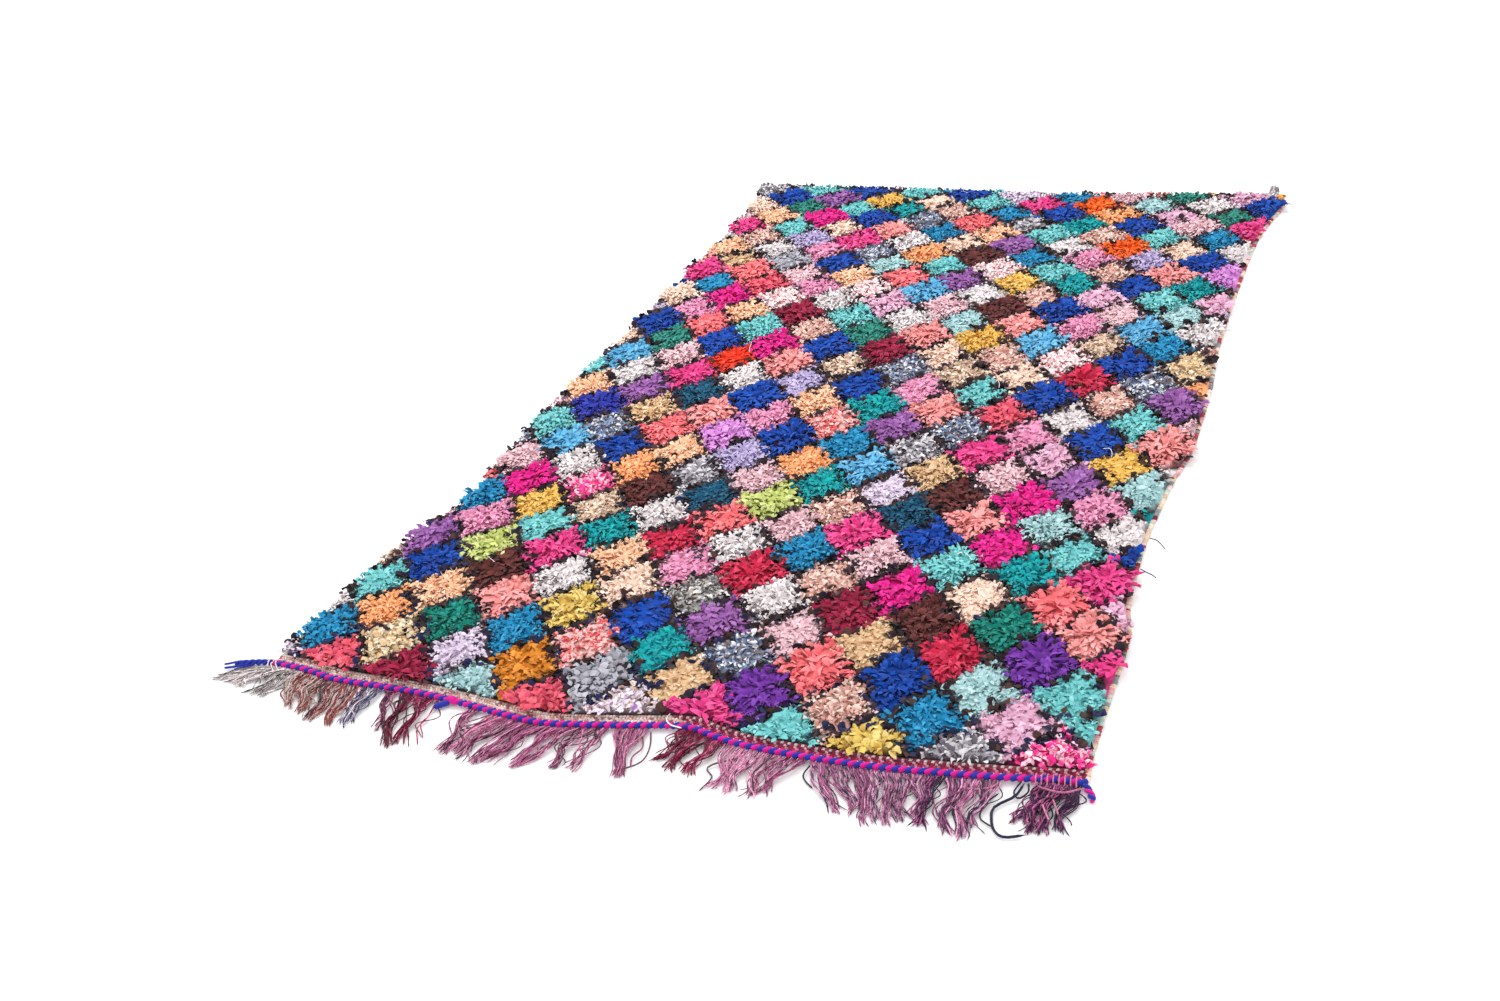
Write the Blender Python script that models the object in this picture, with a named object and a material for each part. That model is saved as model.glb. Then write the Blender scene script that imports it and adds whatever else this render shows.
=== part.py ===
"""A boucherouite rug lying flat: rag pile knotted in diamonds, a twined end cord and a warp fringe."""
import bpy
import bmesh
import math
import random
from mathutils import Euler
from mathutils import Vector

# Driving dimensions in metres. Tables are measured from the near left corner of the weave,
# x across the rug and y along it, away from the fringe. BOX_CENTRE moves them to the origin.
BOX_CENTRE = (0.59267, 0.92494)

# Lattice of the diamonds: a row holds ten, and every second row is set over by half a column
STEPS_PER_COLUMN = 4
STEPS_PER_ROW = 2
FIRST_STEP = -4
LAST_STEP = 38
LAST_ROW = 29.5

# Grid of the cloth: points across the flat band, the two selvedges and the far hem, round the lattice
BAND_LINES = 3
SELVEDGE_COLUMNS = 2
HEM_LINES = 2
COLUMNS = LAST_STEP - FIRST_STEP + 1 + 2 * SELVEDGE_COLUMNS
LINES = int(LAST_ROW * STEPS_PER_ROW) + 1 + BAND_LINES + HEM_LINES
LEFT_RIM = SELVEDGE_COLUMNS
RIGHT_RIM = COLUMNS - 1 - SELVEDGE_COLUMNS
NEAR_RIM = BAND_LINES
FAR_RIM = LINES - 1 - HEM_LINES
FLAT_RANK = 3

# (row, y) of the lattice rows
ROW_PLACES = (
    (0, -0.0115), (5, 0.350), (10, 0.693), (14, 0.984),
    (18, 1.278), (22, 1.539), (26, 1.794), (29.5, 2.004),
)

# (row, x) of the first diamond in an even row, and (row, width) of a column there
FIRST_COLUMN = (
    (0, 0.099), (4, 0.112), (8, 0.142), (12, 0.135),
    (16, 0.156), (20, 0.138), (24, 0.147), (28, 0.124),
)
COLUMN_WIDTH = (
    (0, 0.1228), (4, 0.1194), (8, 0.1156), (12, 0.1182),
    (16, 0.1145), (20, 0.1184), (24, 0.1175), (28, 0.1230),
)

# (y, x) along the two selvedges
LEFT_EDGE = (
    (-0.02, 0.000), (0.12, 0.000), (0.30, 0.013), (0.38, 0.027), (0.47, 0.051),
    (0.63, 0.040), (0.72, 0.044), (0.83, 0.039), (1.00, 0.036), (1.18, 0.044),
    (1.71, 0.044), (1.89, 0.038), (2.01, 0.013),
)
RIGHT_EDGE = (
    (-0.03, 1.252), (0.04, 1.244), (0.31, 1.240), (0.38, 1.226), (0.55, 1.217),
    (0.74, 1.226), (0.84, 1.238), (1.09, 1.235), (1.20, 1.226), (1.38, 1.222),
    (1.74, 1.226), (1.86, 1.240), (1.95, 1.256), (2.04, 1.244),
)

# (x, y) of the end cord's line along the fringed end, and (x, dip) of the far end
NEAR_EDGE = (
    (0.00, -0.025), (0.065, -0.029), (0.125, -0.040), (0.24, -0.041), (0.30, -0.044),
    (0.37, -0.052), (0.43, -0.060), (0.49, -0.065), (0.55, -0.056), (0.61, -0.044),
    (0.70, -0.027), (0.75, -0.039), (0.80, -0.047), (0.89, -0.050), (0.97, -0.049),
    (1.07, -0.040), (1.15, -0.030), (1.22, -0.019), (1.25, -0.018),
)
FAR_DIP = ((0.0, 0.0), (0.40, 0.010), (0.75, 0.020), (1.00, 0.009), (1.25, 0.0))
EDGE_FADE_ROWS = 8.0

# Pile, weave and selvedges
DIAMOND_TOP = 0.0220
DIAMOND_SHOULDER = 0.0195
OUTLINE_HEIGHT = 0.0125
PILE_UNEVENNESS = 0.0016
PILE_SEED = 11
RIM_SHARE = 0.72
PLAN_UNEVENNESS = 0.0020
SELVEDGE_WIDTH = 0.009
SELVEDGE_HEIGHT = 0.0045
SELVEDGE_FOOT = 0.0052
FOOT_RUN = 0.003
FAR_HEM = 0.005
LEAST_STEP = 0.008

# Flat-woven band between the pile and the end cord
BAND_WIDTH = 0.023
BAND_HEIGHT = 0.0048
BAND_GROOVE_HEIGHT = 0.0038
BAND_EDGE_OFFSET = 0.0055

# Locks at the rim: (side, shortest, longest) reach beyond the pile's foot
RIM_LOCKS = (("left", 0.008, 0.016), ("right", 0.002, 0.006), ("far", 0.004, 0.012))
LOCK_TIP_SHARE = 0.55
LOCK_LEAN = 0.005
LOCK_LIFT = 0.0012
LOCK_VARIETY = 0.2
LOCK_UPRIGHT = 0.5
LOCK_ROUNDING = 0.25

# End cord: two plies, one pitch a full turn
CORD_PLY = 0.0046
CORD_PITCH = 0.0205
CORD_STEPS_PER_TURN = 5
CORD_TAIL_TAPER = 0.020
CORD_TIP_RADIUS = 0.55
CORD_RUNS = 60
WELD_DISTANCE = 0.00001
PIECE_GAP = 0.0003

# (x, y, rise) of the free tails, from the end inwards; rise is the share of the strip's height
LEFT_TAIL = ((-0.072, -0.048, 0.0), (-0.050, -0.037, 0.0), (-0.024, -0.028, 0.2), (-0.006, -0.025, 0.9))
RIGHT_TAIL = ((1.250, -0.023, 0.9), (1.253, -0.036, 0.3), (1.256, -0.050, 0.0))
CORD_TURN_IN = 0.006

# Fringe: a strip under the cord, and strands in clumps
STRIP_HEIGHT = 0.0030
STRIP_BACK_OFFSET = BAND_EDGE_OFFSET - PIECE_GAP
STRIP_FRONT_OFFSET = -0.0048
STRIP_END_INSET = 0.0015
STRAND_WIDTH = 0.0034
STRAND_TIP_WIDTH = 0.0020
STRAND_TIP_HEIGHT = 0.0022
STRAND_PARTS = (0.32, 0.66, 1.0)
STRAND_LENGTH_SPREAD = 0.16
STRAND_WOBBLE = 0.0009
STRAND_BEND = 1.15
STRAND_TURN_SHARE = 0.7
STRAND_WAVES = 0.8
STRAND_SEED = 23

# (root from, root to, tip from, tip to, length, strands) of each clump, x in metres
CLUMPS = (
    (0.004, 0.020, -0.068, -0.026, 0.056, 4),
    (0.026, 0.047, -0.010, 0.042, 0.070, 6),
    (0.056, 0.176, 0.070, 0.182, 0.094, 14),
    (0.186, 0.210, 0.196, 0.212, 0.094, 3),
    (0.222, 0.248, 0.242, 0.264, 0.088, 4),
    (0.256, 0.304, 0.276, 0.300, 0.120, 7),
    (0.312, 0.318, 0.322, 0.330, 0.110, 2),
    (0.368, 0.408, 0.350, 0.404, 0.104, 7),
    (0.418, 0.470, 0.418, 0.452, 0.096, 6),
    (0.482, 0.520, 0.480, 0.512, 0.090, 5),
    (0.530, 0.580, 0.532, 0.570, 0.082, 6),
    (0.596, 0.650, 0.628, 0.662, 0.098, 8),
    (0.680, 0.728, 0.688, 0.748, 0.084, 8),
    (0.750, 0.872, 0.782, 0.858, 0.088, 12),
    (0.892, 0.990, 0.942, 1.036, 0.094, 13),
    (1.036, 1.136, 1.054, 1.126, 0.108, 12),
    (1.150, 1.158, 1.158, 1.168, 0.096, 2),
    (1.172, 1.238, 1.190, 1.240, 0.094, 9),
)

CLOTH_COLOUR = (0.50, 0.33, 0.36, 1.0)
CORD_COLOUR = (0.33, 0.03, 0.42, 1.0)
FRINGE_COLOUR = (0.36, 0.15, 0.22, 1.0)


def clear_scene():
    """Remove every object of the open scene."""
    for item in list(bpy.data.objects):
        bpy.data.objects.remove(item, do_unlink=True)


def new_collection(name):
    """Make a collection in the scene."""
    collection = bpy.data.collections.new(name)
    bpy.context.scene.collection.children.link(collection)
    return collection


def cloth_material(name, colour):
    """A matt cloth finish."""
    material = bpy.data.materials.new(name)
    material.use_nodes = True
    shader = material.node_tree.nodes["Principled BSDF"]
    shader.inputs["Base Color"].default_value = colour
    shader.inputs["Roughness"].default_value = 0.92
    shader.inputs["Metallic"].default_value = 0.0
    return material


def mesh_object(name, mesh, collection, material):
    """Place a mesh in the scene under its own name and finish."""
    mesh.name = name
    mesh.materials.clear()
    mesh.materials.append(material)
    item = bpy.data.objects.new(name, mesh)
    collection.objects.link(item)
    return item


def slope(table, k):
    """Slope of a table's curve at its row k."""
    before = table[max(k - 1, 0)]
    after = table[min(k + 1, len(table) - 1)]
    return (after[1] - before[1]) / (after[0] - before[0])


def curve(table, t):
    """Value at t on the smooth curve through a table's (t, value) rows, held beyond its ends."""
    k = 0
    while k < len(table) - 2 and t > table[k + 1][0]:
        k += 1
    start, first = table[k]
    end, last = table[k + 1]
    span = end - start
    s = min(max((t - start) / span, 0.0), 1.0)
    rise = slope(table, k) * span * s * (1.0 - s) ** 2 - slope(table, k + 1) * span * (1.0 - s) * s ** 2
    return first + (last - first) * s * s * (3.0 - 2.0 * s) + rise


def line_place(table, t):
    """Value at t on the straight runs through a table's rows, continued beyond its ends."""
    k = 0
    while k < len(table) - 2 and t > table[k + 1][0]:
        k += 1
    start, first = table[k]
    end, last = table[k + 1]
    return first + (last - first) * (t - start) / (end - start)


def row_y(row, x):
    """Distance along the rug of a lattice row, bent at both ends with the cloth's edges."""
    y = curve(ROW_PLACES, row)
    pile_foot = curve(NEAR_EDGE, x) + BAND_EDGE_OFFSET + BAND_WIDTH
    near = max(0.0, 1.0 - row / EDGE_FADE_ROWS) ** 2
    far = max(0.0, 1.0 - (LAST_ROW - row) / EDGE_FADE_ROWS) ** 2
    return y + (pile_foot - ROW_PLACES[0][1]) * near - curve(FAR_DIP, x) * far


def lattice_place(step, row):
    """Plan position of a quarter step of the lattice, kept in order inside the selvedges."""
    x = curve(FIRST_COLUMN, row) + curve(COLUMN_WIDTH, row) * step / STEPS_PER_COLUMN
    y = row_y(row, x)
    margin = SELVEDGE_WIDTH + FOOT_RUN
    lowest = curve(LEFT_EDGE, y) + margin + (step - FIRST_STEP) * LEAST_STEP
    highest = curve(RIGHT_EDGE, y) - margin - (LAST_STEP - step) * LEAST_STEP
    x = min(max(x, lowest), highest)
    if step == FIRST_STEP:
        x = lowest
    if step == LAST_STEP:
        x = highest
    return x, row_y(row, x)


def diamond_rank(step, half_row):
    """Quarter steps from a diamond's centre: 0 on it, 1 on its shoulder, 2 on the outline."""
    period = STEPS_PER_COLUMN
    half = period // 2
    even = abs((step + half) % period - half) + abs((half_row + half) % period - half)
    odd = abs(step % period - half) + abs(half_row % period - half)
    return min(even, odd)


def pile_point(column, line, draw):
    """Place and rank of a grid point in the pile."""
    step = column - LEFT_RIM + FIRST_STEP
    half_row = line - NEAR_RIM
    x, y = lattice_place(step, half_row / STEPS_PER_ROW)
    rank = diamond_rank(step, half_row)
    height = (DIAMOND_TOP, DIAMOND_SHOULDER, OUTLINE_HEIGHT)[rank]
    height += draw.uniform(-PILE_UNEVENNESS, PILE_UNEVENNESS)
    if column in (LEFT_RIM, RIGHT_RIM) or line in (NEAR_RIM, FAR_RIM):
        height *= RIM_SHARE
    else:
        x += draw.uniform(-PLAN_UNEVENNESS, PLAN_UNEVENNESS)
        y += draw.uniform(-PLAN_UNEVENNESS, PLAN_UNEVENNESS)
    return Vector((x, y, height)), rank


def weave_point(column, line):
    """Place and rank of a grid point in the bare weave: the band, the selvedges and the far hem."""
    step = min(max(column, LEFT_RIM), RIGHT_RIM) - LEFT_RIM + FIRST_STEP
    half_row = min(max(line, NEAR_RIM), FAR_RIM) - NEAR_RIM
    x, y = lattice_place(step, half_row / STEPS_PER_ROW)
    height = SELVEDGE_FOOT
    if column < LEFT_RIM:
        x -= FOOT_RUN + SELVEDGE_WIDTH * (LEFT_RIM - 1 - column)
    if column > RIGHT_RIM:
        x += FOOT_RUN + SELVEDGE_WIDTH * (column - RIGHT_RIM - 1)
    if line < NEAR_RIM:
        share = line / (BAND_LINES - 1)
        y = curve(NEAR_EDGE, x) + BAND_EDGE_OFFSET + (BAND_WIDTH - FOOT_RUN) * share
        height = (BAND_HEIGHT, BAND_GROOVE_HEIGHT, BAND_HEIGHT)[line]
    if line > FAR_RIM:
        y += FOOT_RUN + FAR_HEM * (line - FAR_RIM - 1)
    if column in (0, COLUMNS - 1) or line == LINES - 1:
        height = SELVEDGE_HEIGHT
    return Vector((x, y, height)), FLAT_RANK


def cloth_point(column, line, draw):
    """Place and rank of one point of the cloth's grid."""
    if LEFT_RIM <= column <= RIGHT_RIM and NEAR_RIM <= line <= FAR_RIM:
        return pile_point(column, line, draw)
    return weave_point(column, line)


def rim_faces(bm):
    """The steep faces between the pile's rim and its foot, by side; points are still in grid order."""
    sides = {"left": [], "right": [], "far": []}
    for face in bm.faces:
        column = min(vert.index % COLUMNS for vert in face.verts)
        line = min(vert.index // COLUMNS for vert in face.verts)
        if NEAR_RIM <= line < FAR_RIM and column == LEFT_RIM - 1:
            sides["left"].append(face)
        if NEAR_RIM <= line < FAR_RIM and column == RIGHT_RIM:
            sides["right"].append(face)
        if line == FAR_RIM and LEFT_RIM <= column < RIGHT_RIM:
            sides["far"].append(face)
    return sides


def draw_lock(bm, face, outward, reach, draw):
    """Pull one rim face out into a lock that narrows, leans and lifts a little off the selvedge."""
    tip = bmesh.ops.extrude_discrete_faces(bm, faces=[face])["faces"][0]
    centre = tip.calc_center_median()
    along = Vector((-outward.y, outward.x, 0.0))
    lean = draw.uniform(-LOCK_LEAN, LOCK_LEAN)
    share = LOCK_TIP_SHARE * draw.uniform(1.0 - LOCK_VARIETY, 1.0 + LOCK_VARIETY)
    for vert in tip.verts:
        offset = vert.co - centre
        slide = offset.dot(along)
        vert.co += outward * (reach - LOCK_UPRIGHT * offset.dot(outward))
        vert.co += along * (slide * (share - 1.0) + lean)
        vert.co.z += LOCK_LIFT - LOCK_ROUNDING * max(offset.z, 0.0)


def split_quads(bm, rank):
    """Split each pile quad along the outline between diamonds, or across a diamond's shoulder."""
    for face in [f for f in bm.faces if len(f.verts) == 4]:
        a, b, c, d = face.verts
        ranks = [v[rank] for v in (a, b, c, d)]
        first_level = ranks[0] == ranks[2]
        second_level = ranks[1] == ranks[3]
        if first_level and (not second_level or ranks[0] >= ranks[1]):
            bmesh.utils.face_split(face, a, c)
        else:
            bmesh.utils.face_split(face, b, d)


def close_underside(bm):
    """Drop the boundary to the floor and close it with one flat face."""
    rim = [edge for edge in bm.edges if edge.is_boundary]
    dropped = bmesh.ops.extrude_edge_only(bm, edges=rim)["geom"]
    for item in dropped:
        if isinstance(item, bmesh.types.BMVert):
            item.co.z = 0.0
    floor_rim = [item for item in dropped if isinstance(item, bmesh.types.BMEdge)]
    floor_rim = [edge for edge in floor_rim if edge.is_boundary]
    bmesh.ops.contextual_create(bm, geom=floor_rim)


def make_cloth(collection, material):
    """The knotted cloth: a lumpy slab with low selvedges, a flat band and locks at its rim."""
    draw = random.Random(PILE_SEED)
    bm = bmesh.new()
    bmesh.ops.create_grid(bm, x_segments=COLUMNS - 1, y_segments=LINES - 1, size=1.0)
    bm.verts.index_update()
    rank = bm.verts.layers.int.new("rank")
    bm.verts.ensure_lookup_table()
    for vert in bm.verts:
        place, level = cloth_point(vert.index % COLUMNS, vert.index // COLUMNS, draw)
        vert.co = place
        vert[rank] = level
    sides = rim_faces(bm)
    outward = {"left": Vector((-1, 0, 0)), "right": Vector((1, 0, 0)), "far": Vector((0, 1, 0))}
    for side, shortest, longest in RIM_LOCKS:
        for face in sides[side]:
            draw_lock(bm, face, outward[side], draw.uniform(shortest, longest), draw)
    split_quads(bm, rank)
    close_underside(bm)
    bmesh.ops.recalc_face_normals(bm, faces=bm.faces)
    bmesh.ops.translate(bm, verts=bm.verts, vec=(-BOX_CENTRE[0], -BOX_CENTRE[1], 0.0))
    mesh = bpy.data.meshes.new("rug_body")
    bm.to_mesh(mesh)
    bm.free()
    return mesh_object("rug_body", mesh, collection, material)


def band_edge_stations():
    """The x of each grid column along the band's outer edge."""
    return [weave_point(column, 0)[0].x for column in range(COLUMNS)]


def cord_route():
    """Centre line of the end cord: one free tail, the run along the band, the other tail."""
    strip_top = STRIP_HEIGHT + PIECE_GAP
    route = [(x, y, CORD_PLY + strip_top * rise) for x, y, rise in LEFT_TAIL]
    start = curve(LEFT_EDGE, NEAR_EDGE[0][1]) + CORD_TURN_IN
    end = curve(RIGHT_EDGE, NEAR_EDGE[-1][1]) - CORD_TURN_IN
    for k in range(CORD_RUNS + 1):
        x = start + (end - start) * k / CORD_RUNS
        route.append((x, curve(NEAR_EDGE, x), CORD_PLY + strip_top))
    route.extend((x, y, CORD_PLY + strip_top * rise) for x, y, rise in RIGHT_TAIL)
    return [Vector(point) for point in route]


def even_points(route, spacing):
    """Points at even spacing along a route."""
    lengths = [0.0]
    for before, after in zip(route, route[1:]):
        lengths.append(lengths[-1] + (after - before).length)
    count = round(lengths[-1] / spacing)
    points = []
    k = 0
    for n in range(count + 1):
        want = lengths[-1] * n / count
        while k < len(route) - 2 and want > lengths[k + 1]:
            k += 1
        share = (want - lengths[k]) / (lengths[k + 1] - lengths[k])
        points.append(route[k].lerp(route[k + 1], share))
    return points


def cord_profile(collection):
    """Cross-section of two plies side by side, as a closed flat curve."""
    outline = bpy.data.curves.new("cord_profile", "CURVE")
    outline.dimensions = "2D"
    spline = outline.splines.new("POLY")
    half = CORD_PLY * 0.5
    corners = ((2 * half, 0.0), (half, half), (-half, half), (-2 * half, 0.0), (-half, -half), (half, -half))
    spline.points.add(len(corners) - 1)
    for point, (across, up) in zip(spline.points, corners):
        point.co = (across, up, 0.0, 1.0)
    spline.use_cyclic_u = True
    guide = bpy.data.objects.new("cord_profile", outline)
    guide.hide_render = True
    guide.display_type = "WIRE"
    collection.objects.link(guide)
    return guide


def make_cord(collection, guides, material):
    """The two-ply end cord: a flat section that turns about its route, with thin tail ends."""
    points = even_points(cord_route(), CORD_PITCH / CORD_STEPS_PER_TURN)
    path = bpy.data.curves.new("cord_route", "CURVE")
    path.dimensions = "3D"
    path.twist_mode = "Z_UP"
    path.use_fill_caps = True
    path.bevel_mode = "OBJECT"
    path.bevel_object = cord_profile(guides)
    spline = path.splines.new("POLY")
    spline.points.add(len(points) - 1)
    taper_steps = CORD_TAIL_TAPER * CORD_STEPS_PER_TURN / CORD_PITCH
    for k, place in enumerate(points):
        spline.points[k].co = (place.x - BOX_CENTRE[0], place.y - BOX_CENTRE[1], place.z, 1.0)
        spline.points[k].tilt = k * 2.0 * math.pi / CORD_STEPS_PER_TURN
        from_end = min(k, len(points) - 1 - k)
        spline.points[k].radius = min(1.0, CORD_TIP_RADIUS + (1.0 - CORD_TIP_RADIUS) * from_end / taper_steps)
    route = bpy.data.objects.new("cord_route", path)
    guides.objects.link(route)
    evaluated = route.evaluated_get(bpy.context.evaluated_depsgraph_get())
    bm = bmesh.new()
    bm.from_mesh(bpy.data.meshes.new_from_object(evaluated))
    bmesh.ops.remove_doubles(bm, verts=bm.verts, dist=WELD_DISTANCE)
    bmesh.ops.recalc_face_normals(bm, faces=bm.faces)
    mesh = bpy.data.meshes.new("end_cord")
    bm.to_mesh(mesh)
    bm.free()
    bpy.data.objects.remove(route, do_unlink=True)
    return mesh_object("end_cord", mesh, collection, material)


def strand_plan(clump, k, draw):
    """Root x, tip x, length and wobble of strand k in a clump."""
    root_from, root_to, tip_from, tip_to, length, count = clump
    share = k / (count - 1)
    root = root_from + (root_to - root_from) * share
    tip = tip_from + (tip_to - tip_from) * share
    reach = length * (1.0 - draw.uniform(0.0, STRAND_LENGTH_SPREAD))
    wobble = draw.uniform(-STRAND_WOBBLE, STRAND_WOBBLE)
    return root, tip, reach, wobble


def grow_strand(bm, face, plan, full_length):
    """Pull a root face out along a strand's route, level on the floor, narrowing to its tip."""
    root, tip, reach, wobble = plan
    centre = face.calc_center_median()
    start = centre.copy()
    heading = 0.0
    width = STRAND_WIDTH
    height = STRIP_HEIGHT
    for part in STRAND_PARTS:
        depth = reach * part
        share = depth / full_length
        drift = share ** STRAND_BEND
        x = root + (tip - root) * drift + wobble * math.sin(2.0 * math.pi * share * STRAND_WAVES)
        place = Vector((x, start.y - depth, 0.0))
        next_heading = math.atan2(place.x - centre.x, centre.y - place.y)
        next_width = STRAND_WIDTH + (STRAND_TIP_WIDTH - STRAND_WIDTH) * part
        next_height = STRIP_HEIGHT + (STRAND_TIP_HEIGHT - STRIP_HEIGHT) * part
        face = bmesh.ops.extrude_discrete_faces(bm, faces=[face])["faces"][0]
        turn = STRAND_TURN_SHARE * next_heading - heading
        for vert in face.verts:
            across = Vector((vert.co.x - centre.x, vert.co.y - centre.y, 0.0)) * (next_width / width)
            across.rotate(Euler((0.0, 0.0, turn)))
            vert.co = place + across + Vector((0.0, 0.0, vert.co.z * next_height / height))
        heading += turn
        centre = place
        width = next_width
        height = next_height


def strip_front(stations):
    """Points along the strip's front, as (x, strand): a strand grows from the run after its own point."""
    draw = random.Random(STRAND_SEED)
    front = [(stations[0], None)]
    for clump in CLUMPS:
        for k in range(clump[5]):
            plan = strand_plan(clump, k, draw)
            front.append((plan[0] - STRAND_WIDTH / 2, (plan, clump[4])))
            front.append((plan[0] + STRAND_WIDTH / 2, None))
    front.append((stations[-1], None))
    return front


def make_fringe(collection, material):
    """The warp fringe: a narrow strip under the cord, and strands gathered in clumps."""
    stations = band_edge_stations()
    stations[0] += STRIP_END_INSET
    stations[-1] -= STRIP_END_INSET
    edge_line = [(x, curve(NEAR_EDGE, x)) for x in stations]
    front = strip_front(stations)
    bm = bmesh.new()
    outline = [bm.verts.new((x, line_place(edge_line, x) + STRIP_FRONT_OFFSET, 0.0)) for x, _ in front]
    outline += [bm.verts.new((x, y + STRIP_BACK_OFFSET, 0.0)) for x, y in reversed(edge_line)]
    base = bm.faces.new(outline)
    lifted = bmesh.ops.extrude_face_region(bm, geom=[base], use_keep_orig=True)["geom"]
    for item in lifted:
        if isinstance(item, bmesh.types.BMVert):
            item.co.z = STRIP_HEIGHT
    bmesh.ops.recalc_face_normals(bm, faces=bm.faces)
    bm.verts.ensure_lookup_table()
    roots = []
    for k, (x, strand) in enumerate(front):
        if strand:
            edge = bm.edges.get((bm.verts[k], bm.verts[k + 1]))
            wall = [face for face in edge.link_faces if len(face.verts) == 4][0]
            roots.append((wall, strand))
    for wall, (plan, full_length) in roots:
        grow_strand(bm, wall, plan, full_length)
    bmesh.ops.recalc_face_normals(bm, faces=bm.faces)
    bmesh.ops.translate(bm, verts=bm.verts, vec=(-BOX_CENTRE[0], -BOX_CENTRE[1], 0.0))
    mesh = bpy.data.meshes.new("fringe")
    bm.to_mesh(mesh)
    bm.free()
    return mesh_object("fringe", mesh, collection, material)


def main():
    """Build the rug."""
    clear_scene()
    rug = new_collection("boucherouite_rug")
    guides = new_collection("guides")
    make_cloth(rug, cloth_material("rag_pile", CLOTH_COLOUR))
    make_cord(rug, guides, cloth_material("end_cord", CORD_COLOUR))
    make_fringe(rug, cloth_material("fringe_yarn", FRINGE_COLOUR))


main()
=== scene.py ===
"""Looks of a boucherouite rug: rag pile knotted in diamonds, flat-woven band, end cord and warp fringe."""
import math
import random

import bmesh
import bpy
import numpy as np
from mathutils import Matrix, Vector


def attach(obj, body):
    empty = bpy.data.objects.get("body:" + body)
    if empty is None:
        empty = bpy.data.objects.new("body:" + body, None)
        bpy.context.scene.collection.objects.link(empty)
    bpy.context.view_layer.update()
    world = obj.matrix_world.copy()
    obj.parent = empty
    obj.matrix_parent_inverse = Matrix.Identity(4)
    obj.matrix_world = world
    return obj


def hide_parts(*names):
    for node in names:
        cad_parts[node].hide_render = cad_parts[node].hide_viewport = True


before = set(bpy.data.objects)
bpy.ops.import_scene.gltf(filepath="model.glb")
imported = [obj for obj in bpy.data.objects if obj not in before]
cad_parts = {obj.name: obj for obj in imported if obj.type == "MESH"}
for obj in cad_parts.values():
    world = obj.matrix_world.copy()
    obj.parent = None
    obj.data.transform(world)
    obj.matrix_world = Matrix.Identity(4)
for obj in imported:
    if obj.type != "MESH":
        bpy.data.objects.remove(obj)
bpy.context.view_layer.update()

# The cloth's own tables, as in the part's source. Metres, measured from the near left corner of the weave,
# x across the rug and y along it. BOX_CENTRE moves them to the frame's origin.
BOX_CENTRE = (0.59267, 0.92494)
MILLIMETRE = 0.001
LAST_ROW = 29.5
ROW_PLACES = (
    (0, -0.0115), (5, 0.350), (10, 0.693), (14, 0.984),
    (18, 1.278), (22, 1.539), (26, 1.794), (29.5, 2.004),
)
FIRST_COLUMN = (
    (0, 0.099), (4, 0.112), (8, 0.142), (12, 0.135),
    (16, 0.156), (20, 0.138), (24, 0.147), (28, 0.124),
)
COLUMN_WIDTH = (
    (0, 0.1228), (4, 0.1194), (8, 0.1156), (12, 0.1182),
    (16, 0.1145), (20, 0.1184), (24, 0.1175), (28, 0.1230),
)
LEFT_EDGE = (
    (-0.02, 0.000), (0.12, 0.000), (0.30, 0.013), (0.38, 0.027), (0.47, 0.051),
    (0.63, 0.040), (0.72, 0.044), (0.83, 0.039), (1.00, 0.036), (1.18, 0.044),
    (1.71, 0.044), (1.89, 0.038), (2.01, 0.013),
)
RIGHT_EDGE = (
    (-0.03, 1.252), (0.04, 1.244), (0.31, 1.240), (0.38, 1.226), (0.55, 1.217),
    (0.74, 1.226), (0.84, 1.238), (1.09, 1.235), (1.20, 1.226), (1.38, 1.222),
    (1.74, 1.226), (1.86, 1.240), (1.95, 1.256), (2.04, 1.244),
)
NEAR_EDGE = (
    (0.00, -0.025), (0.065, -0.029), (0.125, -0.040), (0.24, -0.041), (0.30, -0.044),
    (0.37, -0.052), (0.43, -0.060), (0.49, -0.065), (0.55, -0.056), (0.61, -0.044),
    (0.70, -0.027), (0.75, -0.039), (0.80, -0.047), (0.89, -0.050), (0.97, -0.049),
    (1.07, -0.040), (1.15, -0.030), (1.22, -0.019), (1.25, -0.018),
)
FAR_DIP = ((0.0, 0.0), (0.40, 0.010), (0.75, 0.020), (1.00, 0.009), (1.25, 0.0))
EDGE_FADE_ROWS = 8.0
BAND_EDGE_OFFSET = 0.0055
BAND_WIDTH = 0.023
SELVEDGE_WIDTH = 0.0065
FAR_HEM = 0.005

# The woven ground: cells across and along, inset at the sides, tuck under the cord, and its heights
GROUND_GRID = (25, 101)
GROUND_REACH = 1.25
GROUND_INSET = 0.002
GROUND_TUCK = 0.001
GROUND_TOP = 0.0034
GROUND_RIM = 0.0022
GROUND_UNDER = 0.0003

# Knots: so many to a column and to a row of diamonds, and the share of a tile that is in colour. An outline
# knot is in colour at a diamond's tip by TIP_CHANCE, and elsewhere by WORN_OUTLINE for each metre along.
COLUMN_SPAN = (-1, 10)
KNOTS_PER_COLUMN = 8
KNOTS_PER_ROW = 5
KNOT_PITCH = 0.0145
TILE_STEPS = 4
COLOUR_SHARE = 0.88
STEP_JITTER = 0.07
TIP_HALF_WIDTH = 0.14
TIP_FROM = 0.80
TIP_CHANCE = 0.45
WORN_OUTLINE = 0.13
EDGE_SHARE_MOST = 0.8
KNOT_JITTER = 0.0016
KNOT_HEIGHT = 0.0112
KNOT_ROUGHNESS = 0.0016
LEFT_MARGIN = 0.7
BED_COLUMNS = 108
BED_FOOT_ROWS = (0.0, 0.04)
BED_START = 0.1
BED_MARGIN = 0.8
BED_HEIGHT = 0.0095
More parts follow.
